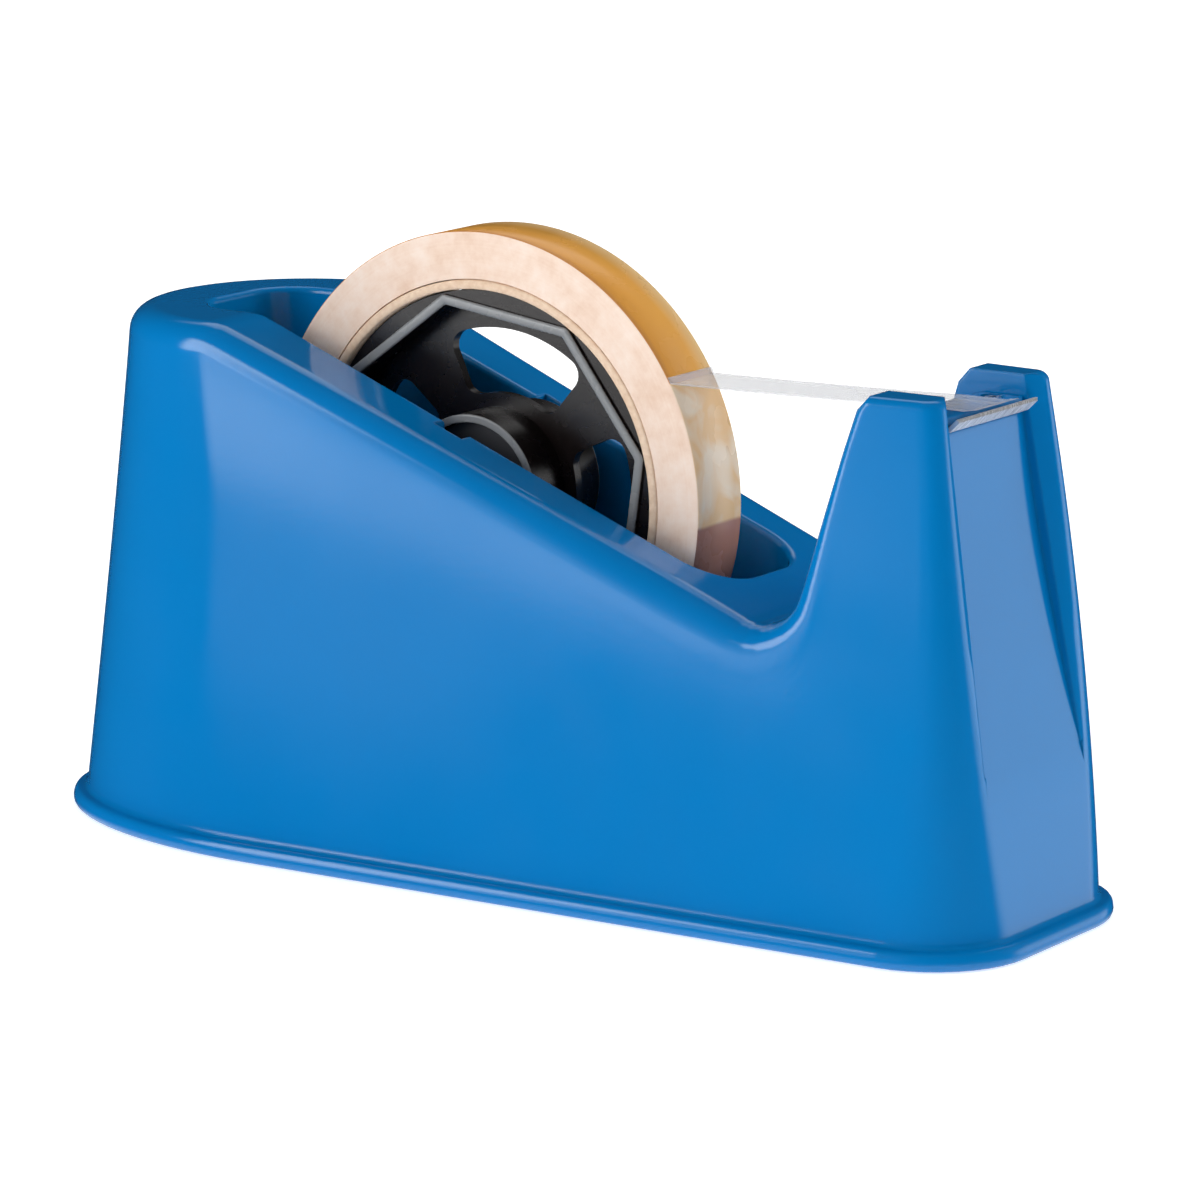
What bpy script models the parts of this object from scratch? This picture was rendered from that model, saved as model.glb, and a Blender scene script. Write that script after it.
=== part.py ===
"""Weighted bench tape dispenser for 76 mm core rolls, modelled as separate parts.

Frame: +Z up, metres. The cutter faces +X, the rear is -X, and the object is symmetric about
the XZ plane. The origin is at the centre of the footprint, at desk level.
"""

import math

import bmesh
import bpy
import numpy as np
from mathutils import Matrix, Vector

# Body: plan outline of the side wall at the base and at ear height
REAR_CENTRE = (-0.0502, -0.0607)
REAR_HALF_LENGTH = (0.0597, 0.0320)
REAR_HALF_WIDTH = (0.0346, 0.0334)
FRONT_END = (0.1097, 0.0962)
FRONT_HALF_WIDTH = (0.0313, 0.0216)
FRONT_CORNER = (0.0180, 0.0036)
FRONT_BULGE = 0.0004
SMALLEST_CORNER = 0.0003

# Body: side view
REAR_TOP = 0.1034
EAR_TOP = 0.1020
SLOPE_START = -0.0582
VALLEY = (0.0672, 0.0550)
EAR_REAR = 0.0808
PROFILE_RADII = (0.0120, 0.0090, 0.0021)
CREST_STATIONS = (-0.058, 0.045, 0.062, 0.073, 0.078, 0.082)
CREST_RADII = (0.0052, 0.0064, 0.0054, 0.0042, 0.0028, 0.0020)
WALL = 0.0030
CAVITY_EAR_RADIUS = 0.0062
CAVITY_CREST_SCALE = 0.35
CROWN_THICK = 0.0031
SEAT_GROW = (0.0028, 0.0026, 0.0024)

# Body: foot rim
RIM_OUT = 0.0026
RIM_BOTTOM = 0.0002
RIM_TOP = 0.0037
RIM_ROUND = 0.6
RIM_FILLET = ((0.0001, 0.0006), (0.0008, 0.0))

# Well that holds the spool
WELL_REAR = -0.0760
WELL_FRONT = 0.0475
WELL_HALF_WIDTH = 0.0150
WELL_FLOOR = 0.0190
WELL_CORNER = 0.0100
WELL_WALL = 0.0026

# Spool
AXLE_X = -0.0120
AXLE_Z = 0.0728
AXLE_RADIUS = 0.0030
AXLE_HALF_LENGTH = 0.0180
GROOVE_RADIUS = 0.0032
GROOVE_END = 0.0186
PILLAR_HALF = 0.0075
PILLAR_Y = (0.0160, 0.0212)
PILLAR_BOTTOM = 0.0550
TUBE_OUTER = 0.0147
TUBE_INNER = 0.0131
TUBE_HALF = 0.0110
DRUM_RADIUS = 0.0377
DRUM_WALL = 0.0022
DRUM_HALF = 0.0070
DRUM_TURN = math.radians(14.5)
FLANGE_RADIUS = 0.0378
FLANGE_Y = 0.0056
FLANGE_HALF = 0.0005
WEB_HALF = 0.0010
WINDOW_INNER = 0.0174
WINDOW_OUTER = 0.0300
WINDOW_HALF_ANGLE = math.radians(32)
WINDOW_CHAMFER = 0.0030
SPOKE_ANGLES = [DRUM_TURN + math.pi * (1 + 4 * k) / 8 for k in range(4)]
BUSH_RADIUS = 0.0130
BUSH_BORE = 0.00307
BUSH_NEAR = 0.0040
BUSH_FAR = 0.0090
CORE_INNER = 0.0381
CORE_OUTER = 0.0399
ROLL_INNER = 0.0401
ROLL_OUTER = 0.0492
TAPE_HALF = 0.0075
RING_STEPS = 72

# Free tape from the roll to the cutter
PEEL_ANGLE = math.radians(29.5)
TAPE_THICK = 0.00015
PEEL_GAP = 0.0003
PAD_GAP = (0.0002, 0.0003)
LEAD_SAG = 0.0002
LEAD_END = (0.0972, 0.0990)

# Cutter at the top of the tower
CHANNEL_HALF = 0.0143
CHANNEL_FLOOR = 0.0950
PANEL_TOP = (0.0937, 0.0960)
PANEL_MIDDLE = (0.0970, 0.0640)
PANEL_FOOT = (0.1082, 0.0220)
PANEL_FOOT_HALF = 0.0180
EAR_BEVEL = ((0.1120, 0.0143, 0.0030, 0.0010), (0.0340, 0.0174, 0.0005, 0.0003))
BEVEL_SLANT = 0.67
BEVEL_AHEAD = 0.0020
BLADE_HALF = 0.0140
BLADE_THICK = 0.0008
BLADE_REAR = 0.0862
BLADE_BEND = 0.0950
BLADE_Z = 0.0953
LIP_LENGTH = 0.0033
LIP_ANGLE = math.radians(45)
TOOTH_DEPTH = 0.0009
TOOTH_COUNT = 18
CLAMP_X = (0.0848, 0.0941)
CLAMP_Z = (0.0964, 0.0980)
BLADE_SCREW_X = 0.0895
BLADE_SCREW_Y = 0.0108
BLADE_SCREW_SEAT = 0.0972
BLADE_SCREW = (0.0042, 0.0009, 0.0020, 0.0007)
BLADE_HOLE = 0.0012
BLADE_PILOT = (0.0011, 0.0928)
CLAMP_HEAD = (0.0023, 0.0970)

# Base plate, ballast, feet and screws
PLATE_BOTTOM = 0.0015
PLATE_TOP = 0.0040
PLATE_GAP = 0.0003
BOSS_BOTTOM = 0.0043
BOSS_TOP = 0.0240
BOSS_RADIUS = 0.0055
BOSSES = {"rear": (-0.0640, 0.0258), "middle": (0.0060, 0.0258), "front": (0.0800, 0.0235)}
PILOT_RADIUS = 0.0017
PILOT_TOP = 0.0180
SCREW_RADIUS = 0.0014
SCREW_HEAD = 0.0028
SCREW_LENGTH = 0.0120
HEAD_POCKET = (0.0031, 0.0030)
SCREW_SEAT = 0.0027
SCREW_HEAD_HEIGHT = 0.0011
HEAD_CROWN = 0.75
HEAD_SHOULDER = 0.60
CROSS_REACH = 0.55
CROSS_HALF_WIDTH = 0.13
CROSS_FLOOR = 0.45
FEET = {"rear": (-0.0820, 0.0150), "front": (0.0940, 0.0150)}
FOOT_RADIUS = 0.0070
FOOT_TOP = 0.0024
FOOT_CHAMFER = 0.0004
FOOT_POCKET_RADIUS = 0.0074
FOOT_POCKET_TOP = 0.0027
BALLAST_BOTTOM = 0.0043
BALLAST_BEVEL = 0.0015
BALLAST = {
    "ballast_centre": ((-0.0720, 0.0480), 0.0195, 0.0155),
    "ballast_front": ((0.0515, 0.0720), 0.0180, 0.0440),
    "ballast_tower": ((0.0880, 0.0990), 0.0130, 0.0400),
    "ballast_rear": ((-0.0915, -0.0792), 0.0130, 0.0460),
}

# Steps round the front corner and the rear, and along the slope and the tower
OUTER_STEPS = (5, 11, 0.0180, 0.0022)
INNER_STEPS = (3, 7, 0.0300, 0.0050)
TOWER_FRONT = 0.0935
TOWER_START = 0.0520
SHOULDER_REAR = -0.0570
LONG = 0.1500
BELOW = -0.0100
SEARCH_MARGIN = 0.0100
DRAFT_STEP = 0.0010
MERGE = 0.000001
MIRROR_MERGE = 0.00001


def clear_scene():
    """Remove what the scene starts with."""
    for item in list(bpy.context.scene.objects):
        bpy.data.objects.remove(item, do_unlink=True)


def new_collection(name, hidden=False):
    """A collection in the scene; a hidden one holds cutters."""
    collection = bpy.data.collections.new(name)
    bpy.context.scene.collection.children.link(collection)
    collection.hide_render = hidden
    return collection


clear_scene()
PARTS = new_collection("tape_dispenser")
CUTTERS = new_collection("cutters", hidden=True)


def material(name, colour, roughness, metallic=0.0):
    """A Principled material with the part's colour."""
    made = bpy.data.materials.new(name)
    made.use_nodes = True
    shader = made.node_tree.nodes["Principled BSDF"]
    shader.inputs["Base Color"].default_value = (*colour, 1.0)
    shader.inputs["Roughness"].default_value = roughness
    shader.inputs["Metallic"].default_value = metallic
    made.diffuse_color = (*colour, 1.0)
    return made


def part(name, mesh, look, at=(0.0, 0.0, 0.0), parent=None):
    """A named sub-part whose mesh is already about its own origin."""
    made = bpy.data.objects.new(name, mesh)
    made.location = at
    made.parent = parent
    mesh.materials.append(look)
    PARTS.objects.link(made)
    return made


def cutter(name, mesh, at=(0.0, 0.0, 0.0)):
    """A helper solid that is cut from, or joined to, a part."""
    made = bpy.data.objects.new(name, mesh)
    made.location = at
    made.display_type = "WIRE"
    made.hide_render = True
    CUTTERS.objects.link(made)
    return made


def boolean(target, tool, operation="DIFFERENCE"):
    """Cut a tool from a target, or join it, with the exact solver."""
    modifier = target.modifiers.new(f"{operation.lower()} {tool.name}", "BOOLEAN")
    modifier.operation = operation
    modifier.solver = "EXACT"
    modifier.object = tool


def mesh_from(name, build):
    """A mesh filled by a function that adds to a bmesh, with its faces turned outward."""
    work = bmesh.new()
    build(work)
    bmesh.ops.recalc_face_normals(work, faces=work.faces)
    mesh = bpy.data.meshes.new(name)
    work.to_mesh(mesh)
    work.free()
    return mesh


def smooth(mesh, angle=35):
    """Smooth shading with edges kept sharp above an angle in degrees."""
    mesh.shade_smooth()
    mesh.set_sharp_from_angle(angle=math.radians(angle))
    return mesh


def box_mesh(name, x, y, z):
    """A box between two limits on each axis."""
    size = Vector((x[1] - x[0], y[1] - y[0], z[1] - z[0]))
    centre = Vector((x[0] + x[1], y[0] + y[1], z[0] + z[1])) / 2
    place = Matrix.Translation(centre) @ Matrix.Diagonal((*size, 1.0))
    return mesh_from(name, lambda work: bmesh.ops.create_cube(work, size=1.0, matrix=place))


def cylinder_mesh(name, radius, start, end, axis="Z", steps=24):
    """A cylinder about the Z or Y axis between two positions along it."""
    lift = Matrix.Translation((0.0, 0.0, (start + end) / 2))
    turn = Matrix.Rotation(-math.pi / 2, 4, "X") if axis == "Y" else Matrix.Identity(4)

    def build(work):
        bmesh.ops.create_cone(
            work, cap_ends=True, segments=steps, radius1=radius, radius2=radius,
            depth=end - start, matrix=turn @ lift,
        )

    return smooth(mesh_from(name, build))


def circle_points(radius, steps, turn=0.0):
    """Points of a regular polygon or, with many steps, a circle."""
    angles = [turn + 2 * math.pi * k / steps for k in range(steps)]
    return [(radius * math.cos(a), radius * math.sin(a)) for a in angles]


def flat_mesh(name, outlines, half_thickness):
    """A plate in the XY plane from closed outlines, holes included, made from a 2D curve."""
    curve = bpy.data.curves.new(name, "CURVE")
    curve.dimensions = "2D"
    curve.fill_mode = "BOTH"
    curve.extrude = half_thickness
    for outline in outlines:
        spline = curve.splines.new("POLY")
        spline.points.add(len(outline) - 1)
        for point, (x, y) in zip(spline.points, outline):
            point.co = (x, y, 0.0, 1.0)
        spline.use_cyclic_u = True
    holder = bpy.data.objects.new(name, curve)
    CUTTERS.objects.link(holder)
    bpy.context.view_layer.update()
    seen = holder.evaluated_get(bpy.context.evaluated_depsgraph_get())
    mesh = bpy.data.meshes.new_from_object(seen)
    bpy.data.objects.remove(holder)
    bpy.data.curves.remove(curve)
    work = bmesh.new()
    work.from_mesh(mesh)
    bmesh.ops.remove_doubles(work, verts=work.verts, dist=MERGE)
    bmesh.ops.recalc_face_normals(work, faces=work.faces)
    work.to_mesh(mesh)
    work.free()
    return mesh


def upright(mesh):
    """Turn a plate from the XY plane to the XZ plane, its thickness along Y."""
    mesh.transform(Matrix.Rotation(math.pi / 2, 4, "X"))
    return mesh


def rounded_path(corners, radii, steps=7):
    """Points and left-hand normals of a polyline whose inner corners are rounded."""
    points, normals = [], []

    def add(point, direction):
        points.append(tuple(point))
        normals.append((-direction.y, direction.x))

    spots = [Vector(corner) for corner in corners]
    add(spots[0], (spots[1] - spots[0]).normalized())
    for before, corner, after, radius in zip(spots, spots[1:], spots[2:], radii):
        along, away = (corner - before).normalized(), (after - corner).normalized()
        turn = along.angle_signed(away)
        reach = radius * math.tan(abs(turn) / 2)
        side = -math.copysign(radius, turn)
        centre = corner - along * reach + Vector((-along.y, along.x)) * side
        for k in range(steps + 1):
            direction = along.copy()
            direction.rotate(Matrix.Rotation(-turn * k / steps, 2))
            add(centre - Vector((-direction.y, direction.x)) * side, direction)
    add(spots[-1], (spots[-1] - spots[-2]).normalized())
    return np.array(points), np.array(normals)


def top_profile(inset, ear_radius):
    """Side view of the top, rear to front, moved into the solid by an inset."""
    corners = [(-LONG, REAR_TOP), (SLOPE_START, REAR_TOP), VALLEY, (EAR_REAR, EAR_TOP), (LONG, EAR_TOP)]
    points, normals = rounded_path(corners, (*PROFILE_RADII[:2], ear_radius))
    return points - inset * normals, normals


def plan_sizes(height, inset):
    """Rear ellipse and front corner of the plan outline at a height, moved in by an inset."""
    t = height / EAR_TOP
    rear_x, rear_a, rear_b, front_x, front_b = (
        low + (high - low) * t
        for low, high in (REAR_CENTRE, REAR_HALF_LENGTH, REAR_HALF_WIDTH, FRONT_END, FRONT_HALF_WIDTH)
    )
    front_x += FRONT_BULGE * 4 * t * (1 - t)
    foot, top = FRONT_CORNER
    corner = max(top + (foot - top) * (1 - t) ** 2 - inset, SMALLEST_CORNER)
    return rear_x, rear_a - inset, rear_b - inset, front_x - inset, front_b - inset, corner


def rear_reach(sizes, angle):
    """Support distance of the rear ellipse in a direction."""
    rear_x, a, b = sizes[:3]
    return rear_x * math.cos(angle) + math.hypot(a * math.cos(angle), b * math.sin(angle))


def corner_reach(sizes, angle):
    """Support distance of the front corner's circle in a direction."""
    front_x, front_b, corner = sizes[3:]
    return (front_x - corner) * math.cos(angle) + (front_b - corner) * math.sin(angle) + corner


def side_angle(sizes):
    """Direction of the straight side's normal, where ellipse and corner reach equally far."""
    low, high = math.radians(45), math.radians(95)
    for _ in range(40):
        middle = (low + high) / 2
        if corner_reach(sizes, middle) > rear_reach(sizes, middle):
            low = middle
        else:
            high = middle
    return low


def corner_point(sizes, angle):
    """Point of the front corner arc whose normal has a given direction."""
    front_x, front_b, corner = sizes[3:]
    x = front_x - corner + corner * math.cos(angle)
    return Vector((x, -(front_b - corner) - corner * math.sin(angle)))


def rear_point(sizes, angle):
    """Point of the rear ellipse whose normal has a given direction."""
    rear_x, a, b = sizes[:3]
    reach = math.hypot(a * math.cos(angle), b * math.sin(angle))
    return Vector((rear_x + a * a * math.cos(angle) / reach, -b * b * math.sin(angle) / reach))


def column_plan(corner_steps, rear_steps, slope_step, tower_step):
    """Columns of the near half from front centre to rear centre, as (kind, fraction)."""
    columns = [("front", 0.0)]
    columns += [("corner", k / corner_steps) for k in range(corner_steps + 1)]
    x = TOWER_FRONT - tower_step
    while x > SHOULDER_REAR + slope_step / 2:
        columns.append(("side", (TOWER_FRONT - x) / (TOWER_FRONT - SHOULDER_REAR)))
        x -= tower_step if x > TOWER_START else slope_step
    columns += [("rear", k / rear_steps) for k in range(rear_steps + 1)]
    return columns


def column_at(column, height, inset):
    """Plan position and normal direction of a column at a height."""
    kind, fraction = column
    sizes = plan_sizes(height, inset)
    side = side_angle(sizes)
    if kind == "front":
        return Vector((sizes[3], 0.0)), 0.0
    if kind == "corner":
        return corner_point(sizes, side * fraction), side * fraction
    if kind == "side":
        return corner_point(sizes, side).lerp(rear_point(sizes, side), fraction), side
    angle = side + (math.pi - side) * fraction
    point = rear_point(sizes, angle)
    if fraction == 1.0:
        point.y = 0.0
    return point, angle


def wall_normal(column, height, inset):
    """Outward normal of the wall, leaning with its draft."""
    low, angle = column_at(column, height - DRAFT_STEP, inset)
    high, _ = column_at(column, height + DRAFT_STEP, inset)
    outward = Vector((math.cos(angle), -math.sin(angle)))
    lean = outward.dot(high - low) / (2 * DRAFT_STEP)
    normal = Vector((outward.x, outward.y, -lean)).normalized()
    if column[0] == "front" or column == ("rear", 1.0):
        normal.y = 0.0
        normal.normalize()
    return normal


def crest_height(column, offset_points, offset_inset):
    """Height at which a column of the inset outline meets the inset top profile."""
    low, high = 0.0, EAR_TOP + SEARCH_MARGIN
    for _ in range(40):
        middle = (low + high) / 2
        x = column_at(column, middle, offset_inset)[0].x
        if middle < np.interp(x, offset_points[:, 0], offset_points[:, 1]):
            low = middle
        else:
            high = middle
    return low


def half_loft(work, columns, low_rows, wall_rows, fillet_rows, inset, ear_radius, radius_scale):
    """Near half of the body's outside, or of its cavity, open at the plane y = 0."""
    grid, centres = [], []
    for column in columns:
        guess_x = column_at(column, 0.6 * REAR_TOP, inset)[0].x
        radius = radius_scale * float(np.interp(guess_x, CREST_STATIONS, CREST_RADII))
        base, normals = top_profile(inset, ear_radius)
        offset = base - radius * normals
        height = crest_height(column, offset, inset + radius)
        plan, _ = column_at(column, height, inset + radius)
        centre = Vector((plan.x, plan.y, height))
        slant = [float(np.interp(plan.x, offset[:, 0], normals[:, k])) for k in (0, 1)]
        top = Vector((slant[0], 0.0, slant[1])).normalized()
        side = wall_normal(column, height, inset + radius)
        tangent = centre + radius * side
        line = []
        for row_height, outward in low_rows:
            spot, _ = column_at(column, row_height, inset - outward)
            line.append(Vector((spot.x, spot.y, row_height)))
        start = low_rows[-1][0]
        for k in range(1, wall_rows):
            row_height = start + (tangent.z - start) * k / wall_rows
            spot, _ = column_at(column, row_height, inset)
            line.append(Vector((spot.x, spot.y, row_height)))
        for k in range(fillet_rows + 1):
            line.append(centre + radius * side.slerp(top, k / fillet_rows))
        grid.append([work.verts.new(point) for point in line])
        centres.append(Vector((line[-1].x, 0.0, line[-1].z)))
    for left, right in zip(grid, grid[1:]):
        for k in range(len(left) - 1):
            work.faces.new((left[k], right[k], right[k + 1], left[k + 1]))
    middle = [grid[0][-1]] + [work.verts.new(point) for point in centres[2:-1]] + [grid[-1][-1]]
    middle.insert(1, grid[0][-1])
    for k in range(1, len(grid) - 1):
        corners = (grid[k][-1], grid[k + 1][-1], middle[k + 1], middle[k])
        work.faces.new(list(dict.fromkeys(corners)))
    work.faces.new([line[0] for line in grid])


def mirror_halves(target):
    """Mirror a near half, open at y = 0, into a closed solid."""
    modifier = target.modifiers.new("far half", "MIRROR")
    modifier.use_axis = (False, True, False)
    modifier.use_clip = True
    modifier.merge_threshold = MIRROR_MERGE


def rim_rows():
    """Heights and outward offsets of the foot rim's rounded bead, then the foot of the wall."""
    middle, half = (RIM_BOTTOM + RIM_TOP) / 2, (RIM_TOP - RIM_BOTTOM) / 2
    bead = []
    for degrees in (-90, -45, 0, 45, 80):
        angle = math.radians(degrees)
        bead.append((middle + half * math.sin(angle), RIM_OUT - half * RIM_ROUND * (1 - math.cos(angle))))
    return bead + [(RIM_TOP + rise, outward) for rise, outward in RIM_FILLET]


def rounded_rectangle(x, half_width, radius, steps=6):
    """Plan outline of the well: a rectangle with rounded corners."""
    centres = [
        (x[1] - radius, half_width - radius), (x[0] + radius, half_width - radius),
        (x[0] + radius, radius - half_width), (x[1] - radius, radius - half_width),
    ]
    points = []
    for quarter, (cx, cy) in enumerate(centres):
        for k in range(steps + 1):
            angle = math.pi / 2 * (quarter + k / steps)
            points.append((cx + radius * math.cos(angle), cy + radius * math.sin(angle)))
    return points


def well_tool(name, grow, floor):
    """The well as a solid, grown sideways, from its floor to above the body."""
    outline = rounded_rectangle(
        (WELL_REAR - grow, WELL_FRONT + grow), WELL_HALF_WIDTH + grow, WELL_CORNER + grow
    )
    mesh = flat_mesh(name, [outline], LONG / 2)
    return cutter(name, mesh, (0.0, 0.0, floor + LONG / 2))


def panel_curve(shift, steps=8):
    """Side view of the recessed front panel from its top to its foot, as a smooth curve."""
    top, middle, foot = (Vector(p) for p in (PANEL_TOP, PANEL_MIDDLE, PANEL_FOOT))
    points = []
    for k in range(steps + 1):
        t = k / steps
        spot = top * (1 - t) ** 2 + middle * 2 * t * (1 - t) + foot * t ** 2
        points.append((spot.x - shift, spot.y))
    return points


def recess_mesh(name, floor, shift, widen):
    """The channel between the ears and the recess below it, wider at its foot."""
    curve = panel_curve(shift)
    side_view = [(VALLEY[0], floor), (PANEL_TOP[0] - shift, floor), *curve[1:]]
    side_view += [(LONG, PANEL_FOOT[1]), (LONG, LONG), (VALLEY[0], LONG)]
    mesh = upright(flat_mesh(name, [side_view], 1.0))
    for vertex in mesh.vertices:
        drop = (PANEL_TOP[1] - vertex.co.z) / (PANEL_TOP[1] - PANEL_FOOT[1])
        half = CHANNEL_HALF + (PANEL_FOOT_HALF - CHANNEL_HALF) * max(drop, 0.0) + widen
        vertex.co.y = math.copysign(half, vertex.co.y)
    return mesh


def ear_bevel_mesh(side):
    """A wedge that slants the ear's inner front edge, deepest at the top of the tower."""
    points = []
    for height, half, width, overlap in EAR_BEVEL:
        front = plan_sizes(height, 0.0)[3]
        inner, outer = half - overlap, half + width + BEVEL_AHEAD / BEVEL_SLANT
        points.append((front - BEVEL_SLANT * (width + overlap), side * inner, height))
        points.append((front + BEVEL_AHEAD, side * inner, height))
        points.append((front + BEVEL_AHEAD, side * outer, height))

    def build(work):
        for point in points:
            work.verts.new(point)
        bmesh.ops.convex_hull(work, input=work.verts)

    return mesh_from("ear_bevel", build)


def cavity():
    """The hollow under the shell: an inner loft less the well, the bosses and the cutter's seat."""
    columns = column_plan(*INNER_STEPS)

    def build(work):
        low_rows = [(BELOW, 0.0), (PLATE_TOP, 0.0)]
        half_loft(work, columns, low_rows, 3, 1, WALL, CAVITY_EAR_RADIUS, CAVITY_CREST_SCALE)

    made = cutter("cavity", mesh_from("cavity", build))
    mirror_halves(made)
    boolean(made, well_tool("well_outside", WELL_WALL, WELL_FLOOR - WALL))
    for side in (-1, 1):
        x = (AXLE_X - PILLAR_HALF, AXLE_X + PILLAR_HALF)
        y = sorted(side * reach for reach in PILLAR_Y)
        pillar = box_mesh("pillar", x, y, (PILLAR_BOTTOM, LONG))
        boolean(made, cutter(f"pillar_{side}", pillar))
    for place, (x, y) in BOSSES.items():
        for side in (-1, 1):
            boss = cylinder_mesh("boss", BOSS_RADIUS, BOSS_BOTTOM, BOSS_TOP, steps=14)
            boolean(made, cutter(f"boss_{place}_{side}", boss, (x, side * y, 0.0)))
    drop, shift, widen = SEAT_GROW
    seat = recess_mesh("seat", CHANNEL_FLOOR - drop, shift, widen)
    boolean(made, cutter("seat", seat))
    across = (-REAR_HALF_WIDTH[0], REAR_HALF_WIDTH[0])
    crown = box_mesh("crown", (VALLEY[0], LONG), across, (CHANNEL_FLOOR - CROWN_THICK, LONG))
    boolean(made, cutter("crown", crown))
    return made


def groove_cutters():
    """Guide grooves in the well's sides that the axle drops into."""
    y = (-GROOVE_END, GROOVE_END)
    slot = box_mesh("groove", (-GROOVE_RADIUS, GROOVE_RADIUS), y, (0.0, LONG))
    foot = cylinder_mesh("groove_foot", GROOVE_RADIUS, *y, axis="Y", steps=24)
    at = (AXLE_X, 0.0, AXLE_Z)
    return [cutter("groove", slot, at), cutter("groove_foot", foot, at)]


def body_shell():
    """The moulded shell with its well, tower, ears and screw bosses."""
    columns = column_plan(*OUTER_STEPS)

    def build(work):
        half_loft(work, columns, rim_rows(), 5, 4, 0.0, PROFILE_RADII[2], 1.0)

    made = part("body_shell", smooth(mesh_from("body_shell", build)), BLUE)
    mirror_halves(made)
    boolean(made, cavity())
    boolean(made, well_tool("well_inside", 0.0, WELL_FLOOR))
    for tool in groove_cutters():
        boolean(made, tool)
    boolean(made, cutter("recess", recess_mesh("recess", CHANNEL_FLOOR, 0.0, 0.0)))
    for side in (-1, 1):
        boolean(made, cutter(f"ear_bevel_{side}", ear_bevel_mesh(side)))
    for place, (x, y) in BOSSES.items():
        for side in (-1, 1):
            pilot = cylinder_mesh("pilot", PILOT_RADIUS, BELOW, PILOT_TOP, steps=12)
            boolean(made, cutter(f"pilot_{place}_{side}", pilot, (x, side * y, 0.0)))
    for side in (-1, 1):
        hole = cylinder_mesh("blade_hole", BLADE_PILOT[0], BLADE_PILOT[1], LONG, steps=12)
        boolean(made, cutter(f"blade_hole_{side}", hole, (BLADE_SCREW_X, side * BLADE_SCREW_Y, 0.0)))
    return made


def base_plate():
    """The plate that closes the shell, pocketed for its screws and feet."""
    columns = [column for column in column_plan(*INNER_STEPS) if column[0] != "side"]
    near = [column_at(column, PLATE_TOP, WALL + PLATE_GAP)[0] for column in columns]
    outline = [tuple(p) for p in near] + [(p.x, -p.y) for p in reversed(near[1:-1])]
    half = (PLATE_TOP - PLATE_BOTTOM) / 2
    mesh = flat_mesh("base_plate", [outline], half)
    made = part("base_plate", mesh, BLACK, (0.0, 0.0, PLATE_BOTTOM + half))
    for place, (x, y) in BOSSES.items():
        for side in (-1, 1):
            hole = cylinder_mesh("plate_hole", PILOT_RADIUS, BELOW, -BELOW, steps=12)
            head = cylinder_mesh("plate_head", HEAD_POCKET[0], BELOW, HEAD_POCKET[1], steps=16)
            boolean(made, cutter(f"plate_hole_{place}_{side}", hole, (x, side * y, 0.0)))
            boolean(made, cutter(f"plate_head_{place}_{side}", head, (x, side * y, 0.0)))
    for place, (x, y) in FEET.items():
        for side in (-1, 1):
            pocket = cylinder_mesh("foot_pocket", FOOT_POCKET_RADIUS, BELOW, FOOT_POCKET_TOP)
            boolean(made, cutter(f"foot_pocket_{place}_{side}", pocket, (x, side * y, 0.0)))
    return made


def turned_mesh(name, profile, steps=24):
    """A turned solid about Z from a profile that runs from the axis out and back."""
    def build(work):
        spots = [work.verts.new((radius, 0.0, z)) for radius, z in profile]
        edges = [work.edges.new(pair) for pair in zip(spots, spots[1:])]
        bmesh.ops.spin(
            work, geom=spots + edges, cent=(0, 0, 0), axis=(0, 0, 1),
            angle=2 * math.pi, steps=steps, use_merge=True,
        )
        bmesh.ops.remove_doubles(work, verts=work.verts, dist=MERGE)

    return smooth(mesh_from(name, build))


def screw(name, at, head_up, sizes):
    """A pan-head screw with a cross recess; its head's bearing face is at its origin."""
    length, radius, head_radius, head_height = sizes
    profile = [
        (0.0, head_height), (HEAD_CROWN * head_radius, head_height),
        (head_radius, HEAD_SHOULDER * head_height),
        (head_radius, 0.0), (radius, 0.0), (radius, -length + radius), (0.0, -length),
    ]
    made = part(name, turned_mesh(name, profile, steps=16), STEEL, at)
    for turn in (0.0, math.pi / 2):
        reach, half = CROSS_REACH * head_radius, CROSS_HALF_WIDTH * head_radius
        bar = box_mesh("cross", (-reach, reach), (-half, half), (CROSS_FLOOR * head_height, LONG))
        tool = cutter(f"{name}_cross_{round(math.degrees(turn))}", bar, at)
        tool.rotation_euler = (0.0 if head_up else math.pi, 0.0, turn)
        boolean(made, tool)
    if not head_up:
        made.rotation_euler = (math.pi, 0.0, 0.0)
    return made


def fixings():
    """Base screws and rubber feet."""
    for place, (x, y) in BOSSES.items():
        for label, side in (("near", -1), ("far", 1)):
            screw(
                f"base_screw_{place}_{label}", (x, side * y, SCREW_SEAT), False,
                (SCREW_LENGTH, SCREW_RADIUS, SCREW_HEAD, SCREW_HEAD_HEIGHT),
            )
    for place, (x, y) in FEET.items():
        for label, side in (("near", -1), ("far", 1)):
            profile = [
                (0.0, FOOT_TOP), (FOOT_RADIUS, FOOT_TOP), (FOOT_RADIUS, FOOT_CHAMFER),
                (FOOT_RADIUS - FOOT_CHAMFER, 0.0), (0.0, 0.0),
            ]
            mesh = turned_mesh("foot", profile)
            part(f"foot_{place}_{label}", mesh, RUBBER, (x, side * y, 0.0))


def ballast_blocks():
    """Cast weights that rest on the base plate around and below the well."""
    for name, (x, half_width, top) in BALLAST.items():
        mesh = box_mesh(name, x, (-half_width, half_width), (BALLAST_BOTTOM, top))
        made = part(name, mesh, IRON)
        bevel = made.modifiers.new("edges", "BEVEL")
        bevel.width = BALLAST_BEVEL
        bevel.segments = 2


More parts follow.
